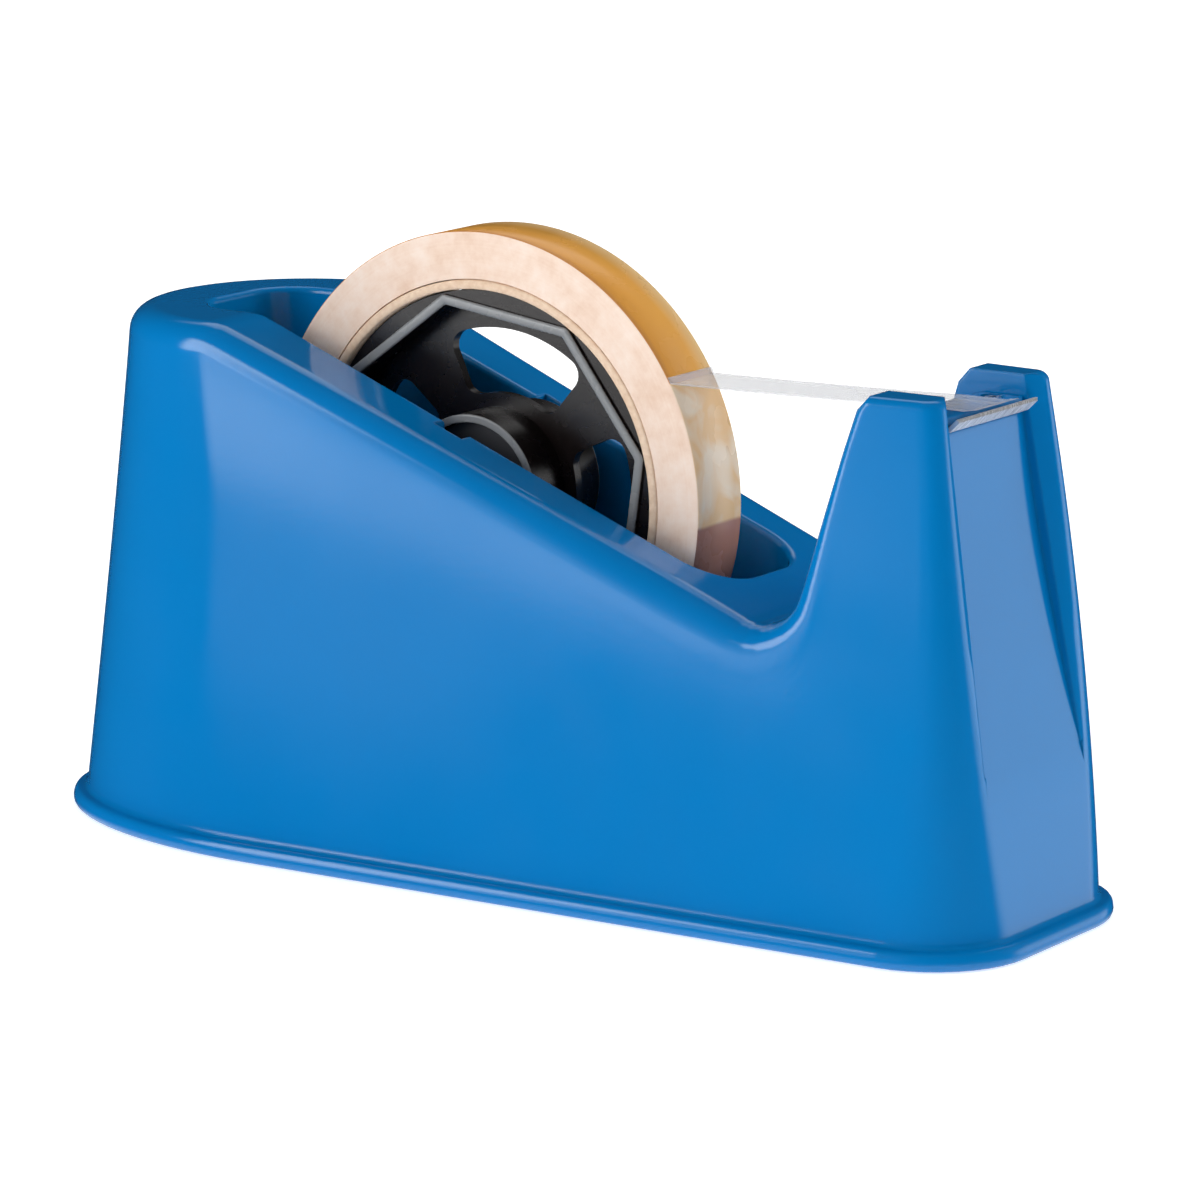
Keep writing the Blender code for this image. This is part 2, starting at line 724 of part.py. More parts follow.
def cutter_assembly():
    """Serrated blade, the pad that clamps it, and their two screws."""
    half_sheet = BLADE_THICK / 2
    flange = box_mesh(
        "blade", (BLADE_REAR, BLADE_BEND + half_sheet), (-BLADE_HALF, BLADE_HALF),
        (BLADE_Z, BLADE_Z + BLADE_THICK),
    )
    blade = part("blade", flange, STEEL)
    pitch = 2 * BLADE_HALF / TOOTH_COUNT
    lip = [(0.0, BLADE_HALF), (0.0, -BLADE_HALF)]
    for k in range(TOOTH_COUNT):
        lip.append((LIP_LENGTH - TOOTH_DEPTH, -BLADE_HALF + pitch * k))
        lip.append((LIP_LENGTH, -BLADE_HALF + pitch * (k + 0.5)))
    lip.append((LIP_LENGTH - TOOTH_DEPTH, BLADE_HALF))
    plate = cutter("lip", flat_mesh("lip", [lip], half_sheet))
    plate.location = (BLADE_BEND, 0.0, BLADE_Z + half_sheet)
    plate.rotation_euler = (0.0, -LIP_ANGLE, 0.0)
    boolean(blade, plate, "UNION")
    pad = box_mesh("blade_clamp", CLAMP_X, (-BLADE_HALF, BLADE_HALF), CLAMP_Z)
    clamp = part("blade_clamp", pad, BLUE)
    for label, side in (("near", -1), ("far", 1)):
        at = (BLADE_SCREW_X, side * BLADE_SCREW_Y, 0.0)
        hole = cylinder_mesh("clamp_hole", BLADE_HOLE, 0.0, LONG, steps=12)
        head = cylinder_mesh("clamp_head", CLAMP_HEAD[0], CLAMP_HEAD[1], LONG, steps=16)
        through = cutter(f"clamp_hole_{label}", hole, at)
        boolean(blade, through)
        boolean(clamp, through)
        boolean(clamp, cutter(f"clamp_head_{label}", head, at))
        screw(f"blade_screw_{label}", (*at[:2], BLADE_SCREW_SEAT), True, BLADE_SCREW)


def window(centre, steps=8):
    """Window between two spokes, as an outline with its corners cut, in the hub's plane."""
    points = []
    for radius, inward, end in ((WINDOW_OUTER, -1, 1), (WINDOW_INNER, 1, -1)):
        span = WINDOW_HALF_ANGLE - WINDOW_CHAMFER / radius
        beside = radius + inward * WINDOW_CHAMFER
        points.append((beside, centre - end * WINDOW_HALF_ANGLE))
        points += [(radius, centre + end * span * (2 * k / steps - 1)) for k in range(steps + 1)]
        points.append((beside, centre + end * WINDOW_HALF_ANGLE))
    return [(radius * math.cos(angle), radius * math.sin(angle)) for radius, angle in points]


def hub_wheel(parent):
    """Eight-sided drum with two round flanges, on a windowed web with a central tube."""
    drum = upright(flat_mesh(
        "hub_wheel",
        [circle_points(DRUM_RADIUS, 8, DRUM_TURN), circle_points(DRUM_RADIUS - DRUM_WALL, 8, DRUM_TURN)],
        DRUM_HALF,
    ))
    made = part("hub_wheel", drum, BLACK, parent=parent)
    windows = [window(angle + math.pi / 4) for angle in SPOKE_ANGLES]
    rim = circle_points(DRUM_RADIUS - DRUM_WALL / 2, 8, DRUM_TURN)
    eye = circle_points((TUBE_OUTER + TUBE_INNER) / 2, 40)
    web = upright(flat_mesh("web", [rim, eye, *windows], WEB_HALF))
    tube = upright(flat_mesh(
        "tube", [circle_points(TUBE_OUTER, 40), circle_points(TUBE_INNER, 40)], TUBE_HALF
    ))
    for name, mesh in (("web", web), ("tube", tube)):
        tool = cutter(name, mesh, (AXLE_X, 0.0, AXLE_Z))
        boolean(made, tool, "UNION")
    for side in (-1, 1):
        flange = upright(flat_mesh("flange", [circle_points(FLANGE_RADIUS, RING_STEPS), rim], FLANGE_HALF))
        tool = cutter("flange", flange, (AXLE_X, side * FLANGE_Y, AXLE_Z))
        boolean(made, tool, "UNION")
    return made


def ring(name, inner, outer, half_width, look, parent, steps=RING_STEPS):
    """A flat-sided ring about the spool's axis."""
    outlines = [circle_points(outer, steps), circle_points(inner, steps)]
    return part(name, smooth(upright(flat_mesh(name, outlines, half_width))), look, parent=parent)


def spool():
    """Axle in its grooves, and the wheel, core and roll that turn on it."""
    seat = bpy.data.objects.new("spool_seat", None)
    seat.location = (AXLE_X, 0.0, AXLE_Z)
    turning = bpy.data.objects.new("spool_turning", None)
    turning.parent = seat
    for empty in (seat, turning):
        PARTS.objects.link(empty)
    axle = cylinder_mesh("axle", AXLE_RADIUS, -AXLE_HALF_LENGTH, AXLE_HALF_LENGTH, axis="Y")
    part("axle", axle, STEEL, parent=seat)
    tape_lead(seat)
    hub_wheel(turning)
    for label, side in (("near", -1), ("far", 1)):
        mesh = upright(flat_mesh(
            "bush", [circle_points(BUSH_RADIUS, 40), circle_points(BUSH_BORE, 32)],
            (BUSH_FAR - BUSH_NEAR) / 2,
        ))
        middle = side * (BUSH_FAR + BUSH_NEAR) / 2
        part(f"hub_bush_{label}", smooth(mesh), GREY, (0.0, middle, 0.0), turning)
    ring("tape_core", CORE_INNER, CORE_OUTER, TAPE_HALF, CARD, turning)
    ring("tape_roll", ROLL_INNER, ROLL_OUTER, TAPE_HALF, TAPE, turning)


def tape_lead(parent):
    """Free length of tape from the roll, over the clamp, to the teeth of the blade."""
    reach = ROLL_OUTER + PEEL_GAP
    start = Vector((reach * math.cos(PEEL_ANGLE), reach * math.sin(PEEL_ANGLE)))
    axle = Vector((AXLE_X, AXLE_Z))
    pad = Vector((CLAMP_X[0], CLAMP_Z[1] + PAD_GAP[0])) - axle
    over = Vector((CLAMP_X[1], CLAMP_Z[1] + PAD_GAP[1])) - axle
    sag = start.lerp(pad, 0.5) - Vector((0.0, LEAD_SAG))
    lower = [start, sag, pad, over, Vector(LEAD_END) - axle]
    upper = [point + Vector((0.0, TAPE_THICK)) for point in reversed(lower)]
    outline = [tuple(point) for point in lower + upper]
    part("tape_lead", upright(flat_mesh("tape_lead", [outline], TAPE_HALF)), TAPE, parent=parent)


BLUE = material("blue_plastic", (0.004, 0.190, 0.520), 0.22)
BLACK = material("black_plastic", (0.010, 0.010, 0.011), 0.30)
GREY = material("grey_plastic", (0.090, 0.090, 0.095), 0.40)
STEEL = material("steel", (0.620, 0.620, 0.630), 0.25, 1.0)
IRON = material("cast_iron", (0.100, 0.098, 0.095), 0.60, 1.0)
RUBBER = material("rubber", (0.020, 0.020, 0.020), 0.80)
CARD = material("cardboard", (0.520, 0.400, 0.250), 0.85)
TAPE = material("tape", (0.780, 0.560, 0.300), 0.30)

body_shell()
base_plate()
fixings()
ballast_blocks()
cutter_assembly()
spool()
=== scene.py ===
"""Looks for the desk tape dispenser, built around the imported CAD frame."""

import math

import bmesh
import bpy
import numpy as np
from mathutils import Matrix, Vector

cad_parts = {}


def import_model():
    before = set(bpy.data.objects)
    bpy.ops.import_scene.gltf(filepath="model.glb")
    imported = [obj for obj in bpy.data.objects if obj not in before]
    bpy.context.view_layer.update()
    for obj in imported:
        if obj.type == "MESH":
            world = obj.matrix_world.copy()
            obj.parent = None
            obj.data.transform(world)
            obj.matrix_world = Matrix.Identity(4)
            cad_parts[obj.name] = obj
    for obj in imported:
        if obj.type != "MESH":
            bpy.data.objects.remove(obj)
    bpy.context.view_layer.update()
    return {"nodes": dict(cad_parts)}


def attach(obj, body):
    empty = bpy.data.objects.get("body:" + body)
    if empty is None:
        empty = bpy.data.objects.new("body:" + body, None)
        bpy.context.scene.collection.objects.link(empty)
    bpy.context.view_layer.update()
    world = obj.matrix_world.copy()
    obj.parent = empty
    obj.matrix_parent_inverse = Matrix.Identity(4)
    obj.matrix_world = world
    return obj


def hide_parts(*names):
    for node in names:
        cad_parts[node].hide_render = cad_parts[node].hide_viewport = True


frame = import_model()

# Body: plan outline of the side wall at the base and at ear height
REAR_CENTRE = (-0.0502, -0.0607)
REAR_HALF_LENGTH = (0.0597, 0.0320)
REAR_HALF_WIDTH = (0.0346, 0.0334)
FRONT_END = (0.1097, 0.0962)
FRONT_HALF_WIDTH = (0.0313, 0.0216)
FRONT_CORNER = (0.0180, 0.0036)
FRONT_BULGE = 0.0004
SMALLEST_CORNER = 0.0003

# Body: side view
REAR_TOP = 0.1034
EAR_TOP = 0.1020
SLOPE_START = -0.0582
VALLEY = (0.0672, 0.0550)
EAR_REAR = 0.0808
PROFILE_RADII = (0.0120, 0.0090, 0.0021)
CREST_STATIONS = (-0.058, 0.045, 0.062, 0.073, 0.078, 0.082)
CREST_RADII = (0.0052, 0.0064, 0.0054, 0.0042, 0.0028, 0.0020)
WALL = 0.0030
CAVITY_EAR_RADIUS = 0.0062
CAVITY_CREST_SCALE = 0.35
CROWN_THICK = 0.0031
SEAT_GROW = (0.0028, 0.0026, 0.0024)

# Body: foot rim
RIM_OUT = 0.0026
RIM_BOTTOM = 0.0002
RIM_TOP = 0.0037
RIM_ROUND = 0.6
RIM_ANGLES = range(-90, 81, 17)
RIM_FILLET = ((0.0001, 0.0006), (0.0008, 0.0))

# Well that holds the spool
WELL_REAR = -0.0760
WELL_FRONT = 0.0475
WELL_HALF_WIDTH = 0.0150
WELL_FLOOR = 0.0190
WELL_CORNER = 0.0100
WELL_WALL = 0.0026

# Spool
AXLE_X = -0.0120
AXLE_Z = 0.0728
GROOVE_RADIUS = 0.0032
GROOVE_END = 0.0186
PILLAR_HALF = 0.0075
PILLAR_Y = (0.0160, 0.0212)
PILLAR_BOTTOM = 0.0550
TUBE_OUTER = 0.0147
TUBE_INNER = 0.0131
TUBE_HALF = 0.0110
DRUM_RADIUS = 0.0377
DRUM_WALL = 0.0022
DRUM_HALF = 0.0070
DRUM_TURN = math.radians(14.5)
FLANGE_RADIUS = 0.0378
FLANGE_Y = 0.0056
FLANGE_HALF = 0.0005
WEB_HALF = 0.0010
WEB_REACH = 0.6
DRUM_CORNERS = (0.0016, 0.0010)
DRUM_BEVEL = 0.0006
TUBE_BEVEL = 0.0003
# Radius band beyond which the drum's end face carries the painted grey highlight
PAINTED_HIGHLIGHT_RADIUS = (0.0280, 0.0300)
WINDOW_CORNER = 0.0032
WINDOW_INNER = 0.0174
WINDOW_OUTER = 0.0300
WINDOW_HALF_ANGLE = math.radians(32)
SPOKE_ANGLES = [DRUM_TURN + math.pi * (1 + 4 * k) / 8 for k in range(4)]
CORE_INNER = 0.0381
CORE_OUTER = 0.0399
ROLL_INNER = 0.0401
ROLL_OUTER = 0.0492
TAPE_HALF = 0.0075
ROLL_TURNS = 26
ROLL_EDGE = 0.00030
OUTER_TURN = 0.00015
TURN_DROP = 0.00010
TURN_WANDER = 0.000010
TURN_LIMITS = (-0.00004, 0.00002)
CORE_EDGE = 0.00025

# Free tape from the roll to the cutter
PEEL_ANGLE = math.radians(29.5)
PAD_GAP = (0.0002, 0.0003)
LEAD_SAG = 0.0002
LEAD_LIFT = 0.00012
LEAD_OVERLAP = math.radians(1.5)
LEAD_BACK = (0.0004, 0.0002)
LEAD_STEPS = 24
FILM_THICK = 0.00006
FILM_CLEAR = 0.0001
LEAD_END = (0.0972, 0.0990)

# Cutter at the top of the tower
CHANNEL_HALF = 0.0143
CHANNEL_FLOOR = 0.0950
PANEL_TOP = (0.0937, 0.0960)
PANEL_MIDDLE = (0.0970, 0.0640)
PANEL_FOOT = (0.1082, 0.0220)
PANEL_FOOT_HALF = 0.0180
EAR_BEVEL = ((0.1120, 0.0143, 0.0030, 0.0010), (0.0340, 0.0174, 0.0005, 0.0003))
BEVEL_SLANT = 0.67
BEVEL_AHEAD = 0.0020
BLADE_HALF = 0.0140
BLADE_THICK = 0.0008
BLADE_REAR = 0.0862
BLADE_BEND = 0.0950
BLADE_Z = 0.0953
LIP_LENGTH = 0.0033
LIP_ANGLE = math.radians(45)
TOOTH_DEPTH = 0.0005
TOOTH_COUNT = 30
TOOTH_BACK = 0.0004
TOOTH_EDGE = 0.45
BEND_RADIUS = 0.0008
CLAMP_X = (0.0848, 0.0941)
CLAMP_Z = (0.0964, 0.0980)
BLADE_SCREW_X = 0.0895
BLADE_SCREW_Y = 0.0108
BLADE_HOLE = 0.0012
BLADE_PILOT = (0.0011, 0.0928)
CLAMP_HEAD = (0.0023, 0.0970)
CLAMP_CORNER = 0.0008
CLAMP_BEVEL = 0.0003

# Base plate level and the screw bosses above it
PLATE_TOP = 0.0040
BOSS_BOTTOM = 0.0043
BOSS_TOP = 0.0240
BOSS_RADIUS = 0.0055
BOSSES = {"rear": (-0.0640, 0.0258), "middle": (0.0060, 0.0258), "front": (0.0800, 0.0235)}
PILOT_RADIUS = 0.0017
PILOT_TOP = 0.0180

# Limits used while the body is built
TOWER_FRONT = 0.0935
TOWER_START = 0.0520
SHOULDER_REAR = -0.0570
LONG = 0.1500
BELOW = -0.0100
SEARCH_MARGIN = 0.0100
HALVINGS = 40
GUESS_LEVEL = 0.6
DRAFT_STEP = 0.0010
MERGE = 0.000001
MIRROR_MERGE = 0.00001

# Steps: corner, rear, slope, tower; then rows up the wall and over the crest; the well's lip
SKIN_STEPS = (10, 40, 0.0065, 0.0007)
CAVITY_STEPS = (4, 10, 0.0300, 0.0040)
SKIN_ROWS = (14, 10)
CAVITY_ROWS = (3, 1)
WELL_STEPS = (12, 6, 24)
LIP = 0.0011
LIP_PROUD = 0.00002
LIP_STEPS = 6


def mesh_from(name, build):
    """A mesh filled by a function that adds to a bmesh, with its faces turned outward."""
    work = bmesh.new()
    build(work)
    bmesh.ops.recalc_face_normals(work, faces=work.faces)
    mesh = bpy.data.meshes.new(name)
    work.to_mesh(mesh)
    work.free()
    return mesh


def smooth(mesh, angle=35):
    """Smooth shading with edges kept sharp above an angle in degrees."""
    mesh.shade_smooth()
    mesh.set_sharp_from_angle(angle=math.radians(angle))
    return mesh


def new_object(name, mesh, at=(0.0, 0.0, 0.0)):
    """An object in the scene."""
    made = bpy.data.objects.new(name, mesh)
    made.location = at
    bpy.context.scene.collection.objects.link(made)
    return made


def boolean(target, tool, operation="DIFFERENCE"):
    """Cut a tool from a target, or join it, at once; the tool is used up."""
    modifier = target.modifiers.new(operation.lower(), "BOOLEAN")
    modifier.operation = operation
    modifier.solver = "EXACT"
    modifier.object = tool
    settle(target)
    bpy.data.objects.remove(tool)


def cut(target, mesh, at=(0.0, 0.0, 0.0)):
    """Cut a mesh, placed as an object, from a target."""
    boolean(target, new_object(mesh.name, mesh, at))


def settle(target):
    """Apply a target's modifiers to its mesh."""
    bpy.context.view_layer.update()
    seen = target.evaluated_get(bpy.context.evaluated_depsgraph_get())
    mesh = bpy.data.meshes.new_from_object(seen)
    target.modifiers.clear()
    target.data = mesh


def box_mesh(name, x, y, z):
    """A box between two limits on each axis."""
    size = Vector((x[1] - x[0], y[1] - y[0], z[1] - z[0]))
    centre = Vector((x[0] + x[1], y[0] + y[1], z[0] + z[1])) / 2
    place = Matrix.Translation(centre) @ Matrix.Diagonal((*size, 1.0))
    return mesh_from(name, lambda work: bmesh.ops.create_cube(work, size=1.0, matrix=place))


def cylinder_mesh(name, radius, start, end, axis="Z", steps=48):
    """A cylinder about the Z or Y axis between two positions along it."""
    lift = Matrix.Translation((0.0, 0.0, (start + end) / 2))
    turn = Matrix.Rotation(-math.pi / 2, 4, "X") if axis == "Y" else Matrix.Identity(4)

    def build(work):
        bmesh.ops.create_cone(
            work, cap_ends=True, segments=steps, radius1=radius, radius2=radius,
            depth=end - start, matrix=turn @ lift,
        )

    return smooth(mesh_from(name, build))


def circle_points(radius, steps, turn=0.0):
    """Points of a regular polygon or, with many steps, a circle."""
    angles = [turn + 2 * math.pi * k / steps for k in range(steps)]
    return [(radius * math.cos(a), radius * math.sin(a)) for a in angles]


def flat_mesh(name, outlines, half_thickness, bevel=0.0, bevel_steps=2):
    """A plate in the XY plane from closed outlines, holes included, with its edges rounded."""
    curve = bpy.data.curves.new(name, "CURVE")
    curve.dimensions = "2D"
    curve.fill_mode = "BOTH"
    curve.extrude = half_thickness - bevel
    curve.bevel_depth = bevel
    curve.bevel_resolution = bevel_steps
    curve.offset = -bevel
    for outline in outlines:
        spline = curve.splines.new("POLY")
        spline.points.add(len(outline) - 1)
        for point, (x, y) in zip(spline.points, outline):
            point.co = (x, y, 0.0, 1.0)
        spline.use_cyclic_u = True
    holder = new_object(name, curve)
    bpy.context.view_layer.update()
    seen = holder.evaluated_get(bpy.context.evaluated_depsgraph_get())
    mesh = bpy.data.meshes.new_from_object(seen)
    bpy.data.objects.remove(holder)
    bpy.data.curves.remove(curve)
    work = bmesh.new()
    work.from_mesh(mesh)
    bmesh.ops.remove_doubles(work, verts=work.verts, dist=MERGE)
    bmesh.ops.recalc_face_normals(work, faces=work.faces)
    work.to_mesh(mesh)
    work.free()
    return mesh


def upright(mesh):
    """Turn a plate from the XY plane to the XZ plane, its thickness along Y."""
    mesh.transform(Matrix.Rotation(math.pi / 2, 4, "X"))
    return mesh


def rounded_outline(corners, radius, steps=6):
    """A closed outline with its corners rounded."""
    points = []
    spots = [Vector(corner) for corner in corners]
    for before, corner, after in zip(spots[-1:] + spots[:-1], spots, spots[1:] + spots[:1]):
        into, out = (corner - before).normalized(), (after - corner).normalized()
        turn = into.angle_signed(out)
        reach = radius * math.tan(abs(turn) / 2)
        start, end = corner - into * reach, corner + out * reach
        for k in range(steps + 1):
            t = k / steps
            points.append(tuple(start * (1 - t) ** 2 + corner * 2 * t * (1 - t) + end * t ** 2))
    return points


def rounded_path(corners, radii, steps=7):
    """Points and left-hand normals of a polyline whose inner corners are rounded."""
    points, normals = [], []

    def add(point, direction):
        points.append(tuple(point))
        normals.append((-direction.y, direction.x))

    spots = [Vector(corner) for corner in corners]
    add(spots[0], (spots[1] - spots[0]).normalized())
    for before, corner, after, radius in zip(spots, spots[1:], spots[2:], radii):
        along, away = (corner - before).normalized(), (after - corner).normalized()
        turn = along.angle_signed(away)
        reach = radius * math.tan(abs(turn) / 2)
        side = -math.copysign(radius, turn)
        centre = corner - along * reach + Vector((-along.y, along.x)) * side
        for k in range(steps + 1):
            direction = along.copy()
            direction.rotate(Matrix.Rotation(-turn * k / steps, 2))
            add(centre - Vector((-direction.y, direction.x)) * side, direction)
    add(spots[-1], (spots[-1] - spots[-2]).normalized())
    return np.array(points), np.array(normals)


def top_profile(inset, ear_radius):
    """Side view of the top, rear to front, moved into the solid by an inset."""
    corners = [(-LONG, REAR_TOP), (SLOPE_START, REAR_TOP), VALLEY, (EAR_REAR, EAR_TOP), (LONG, EAR_TOP)]
    points, normals = rounded_path(corners, (*PROFILE_RADII[:2], ear_radius))
    return points - inset * normals, normals


def plan_sizes(height, inset):
    """Rear ellipse and front corner of the plan outline at a height, moved in by an inset."""
    t = height / EAR_TOP
    rear_x, rear_a, rear_b, front_x, front_b = (
        low + (high - low) * t
        for low, high in (REAR_CENTRE, REAR_HALF_LENGTH, REAR_HALF_WIDTH, FRONT_END, FRONT_HALF_WIDTH)
    )
    front_x += FRONT_BULGE * 4 * t * (1 - t)
    foot, top = FRONT_CORNER
    corner = max(top + (foot - top) * (1 - t) ** 2 - inset, SMALLEST_CORNER)
    return rear_x, rear_a - inset, rear_b - inset, front_x - inset, front_b - inset, corner


def rear_reach(sizes, angle):
    """Support distance of the rear ellipse in a direction."""
    rear_x, a, b = sizes[:3]
    return rear_x * math.cos(angle) + math.hypot(a * math.cos(angle), b * math.sin(angle))


def corner_reach(sizes, angle):
    """Support distance of the front corner's circle in a direction."""
    front_x, front_b, corner = sizes[3:]
    return (front_x - corner) * math.cos(angle) + (front_b - corner) * math.sin(angle) + corner


def side_angle(sizes):
    """Direction of the straight side's normal, where ellipse and corner reach equally far."""
    low, high = math.radians(45), math.radians(95)
    for _ in range(HALVINGS):
        middle = (low + high) / 2
        if corner_reach(sizes, middle) > rear_reach(sizes, middle):
            low = middle
        else:
            high = middle
    return low


def corner_point(sizes, angle):
    """Point of the front corner arc whose normal has a given direction."""
    front_x, front_b, corner = sizes[3:]
    x = front_x - corner + corner * math.cos(angle)
    return Vector((x, -(front_b - corner) - corner * math.sin(angle)))


def rear_point(sizes, angle):
    """Point of the rear ellipse whose normal has a given direction."""
    rear_x, a, b = sizes[:3]
    reach = math.hypot(a * math.cos(angle), b * math.sin(angle))
    return Vector((rear_x + a * a * math.cos(angle) / reach, -b * b * math.sin(angle) / reach))


def column_plan(corner_steps, rear_steps, slope_step, tower_step):
    """Columns of the near half from front centre to rear centre, as (kind, fraction)."""
    columns = [("front", 0.0)]
    columns += [("corner", k / corner_steps) for k in range(corner_steps + 1)]
    x = TOWER_FRONT - tower_step
    while x > SHOULDER_REAR + slope_step / 2:
        columns.append(("side", (TOWER_FRONT - x) / (TOWER_FRONT - SHOULDER_REAR)))
        x -= tower_step if x > TOWER_START else slope_step
    columns += [("rear", k / rear_steps) for k in range(rear_steps + 1)]
    return columns


def column_at(column, height, inset):
    """Plan position and normal direction of a column at a height."""
    kind, fraction = column
    sizes = plan_sizes(height, inset)
    side = side_angle(sizes)
    if kind == "front":
        return Vector((sizes[3], 0.0)), 0.0
    if kind == "corner":
        return corner_point(sizes, side * fraction), side * fraction
    if kind == "side":
        return corner_point(sizes, side).lerp(rear_point(sizes, side), fraction), side
    angle = side + (math.pi - side) * fraction
    point = rear_point(sizes, angle)
    if fraction == 1.0:
        point.y = 0.0
    return point, angle


def wall_normal(column, height, inset):
    """Outward normal of the wall, leaning with its draft."""
    low, angle = column_at(column, height - DRAFT_STEP, inset)
    high, _ = column_at(column, height + DRAFT_STEP, inset)
    outward = Vector((math.cos(angle), -math.sin(angle)))
    lean = outward.dot(high - low) / (2 * DRAFT_STEP)
    normal = Vector((outward.x, outward.y, -lean)).normalized()
    if column[0] == "front" or column == ("rear", 1.0):
        normal.y = 0.0
        normal.normalize()
    return normal


def crest_height(column, offset_points, offset_inset):
    """Height at which a column of the inset outline meets the inset top profile."""
    low, high = 0.0, EAR_TOP + SEARCH_MARGIN
    for _ in range(HALVINGS):
        middle = (low + high) / 2
        x = column_at(column, middle, offset_inset)[0].x
        if middle < np.interp(x, offset_points[:, 0], offset_points[:, 1]):
            low = middle
        else:
            high = middle
    return low


def half_loft(work, columns, low_rows, rows, inset, ear_radius, radius_scale):
    """Near half of the body's outside, or of its cavity, open at the plane y = 0."""
    wall_rows, fillet_rows = rows
    grid, centres = [], []
    for column in columns:
        guess_x = column_at(column, GUESS_LEVEL * REAR_TOP, inset)[0].x
        radius = radius_scale * float(np.interp(guess_x, CREST_STATIONS, CREST_RADII))
        base, normals = top_profile(inset, ear_radius)
        offset = base - radius * normals
        height = crest_height(column, offset, inset + radius)
        plan, _ = column_at(column, height, inset + radius)
        centre = Vector((plan.x, plan.y, height))
        slant = [float(np.interp(plan.x, offset[:, 0], normals[:, k])) for k in (0, 1)]
        top = Vector((slant[0], 0.0, slant[1])).normalized()
        side = wall_normal(column, height, inset + radius)
        tangent = centre + radius * side
        line = []
        for row_height, outward in low_rows:
            spot, _ = column_at(column, row_height, inset - outward)
            line.append(Vector((spot.x, spot.y, row_height)))
        start = low_rows[-1][0]
        for k in range(1, wall_rows):
            row_height = start + (tangent.z - start) * k / wall_rows
            spot, _ = column_at(column, row_height, inset)
            line.append(Vector((spot.x, spot.y, row_height)))
        for k in range(fillet_rows + 1):
            line.append(centre + radius * side.slerp(top, k / fillet_rows))
        grid.append([work.verts.new(point) for point in line])
        centres.append(Vector((line[-1].x, 0.0, line[-1].z)))
    for left, right in zip(grid, grid[1:]):
        for k in range(len(left) - 1):
            work.faces.new((left[k], right[k], right[k + 1], left[k + 1]))
    middle = [grid[0][-1]] + [work.verts.new(point) for point in centres[2:-1]] + [grid[-1][-1]]
    middle.insert(1, grid[0][-1])
    for k in range(1, len(grid) - 1):
        corners = (grid[k][-1], grid[k + 1][-1], middle[k + 1], middle[k])
        work.faces.new(list(dict.fromkeys(corners)))
    work.faces.new([line[0] for line in grid])


def lofted(name, *loft):
    """Both halves of a loft as one closed solid."""
    made = new_object(name, smooth(mesh_from(name, lambda work: half_loft(work, *loft))))
    modifier = made.modifiers.new("far half", "MIRROR")
    modifier.use_axis = (False, True, False)
    modifier.use_clip = True
    modifier.merge_threshold = MIRROR_MERGE
    settle(made)
    return made


def rim_rows():
    """Heights and outward offsets of the foot rim's rounded bead, then the foot of the wall."""
    middle, half = (RIM_BOTTOM + RIM_TOP) / 2, (RIM_TOP - RIM_BOTTOM) / 2
    bead = []
    for degrees in RIM_ANGLES:
        angle = math.radians(degrees)
        bead.append((middle + half * math.sin(angle), RIM_OUT - half * RIM_ROUND * (1 - math.cos(angle))))
    return bead + [(RIM_TOP + rise, outward) for rise, outward in RIM_FILLET]


def well_outline(grow, steps):
    """Plan outline of the well with the outward direction at each point."""
    x = (WELL_REAR - grow, WELL_FRONT + grow)
    half_width, radius = WELL_HALF_WIDTH + grow, WELL_CORNER + grow
    sides = WELL_STEPS[2]
    centres = [
        (x[1] - radius, half_width - radius), (x[0] + radius, half_width - radius),
        (x[0] + radius, radius - half_width), (x[1] - radius, radius - half_width),
    ]
    points = []
    for quarter, (cx, cy) in enumerate(centres):
        for k in range(steps + 1):
            angle = math.pi / 2 * (quarter + k / steps)
            away = Vector((math.cos(angle), math.sin(angle)))
            points.append((Vector((cx, cy)) + radius * away, away))
        if quarter in (0, 2):
            first, away = points[-1]
            last = Vector((x[0] + radius if quarter == 0 else x[1] - radius, first.y))
            points += [(first.lerp(last, k / sides), away) for k in range(1, sides)]
    return points


def top_at(x):
    """Height and upward normal of the body's top at a position along it."""
    base, normals = top_profile(0.0, PROFILE_RADII[2])
    height = float(np.interp(x, base[:, 0], base[:, 1]))
    slant = [float(np.interp(x, base[:, 0], normals[:, k])) for k in (0, 1)]
    return height, Vector((slant[0], 0.0, slant[1])).normalized()


def well_with_lip():
    """The well as a solid whose upper edge flares out, so that it leaves a rounded lip."""
    lines = []
    for spot, away in well_outline(0.0, WELL_STEPS[0]):
        reach = spot + away * LIP
        height, up = top_at(reach.x)
        centre = Vector((reach.x, reach.y, height - (LIP - LIP_PROUD) / up.z))
        wall = Vector((-away.x, -away.y, 0.0))
        line = [Vector((spot.x, spot.y, WELL_FLOOR))]
        line += [centre + LIP * wall.slerp(up, k / LIP_STEPS) for k in range(LIP_STEPS + 1)]
        line.append(Vector((line[-1].x, line[-1].y, LONG)))
        lines.append(line)

    def build(work):
        grid = [[work.verts.new(point) for point in line] for line in lines]
        for left, right in zip(grid, grid[1:] + grid[:1]):
            for k in range(len(left) - 1):
                work.faces.new((left[k], right[k], right[k + 1], left[k + 1]))
        work.faces.new([line[0] for line in grid])
        work.faces.new([line[-1] for line in grid])

    return new_object("well", mesh_from("well", build))


def plain_well(grow, floor):
    """The well as a plain solid, grown sideways."""
    outline = [tuple(spot) for spot, _ in well_outline(grow, WELL_STEPS[1])]
    return new_object("well", flat_mesh("well", [outline], LONG / 2), (0.0, 0.0, floor + LONG / 2))


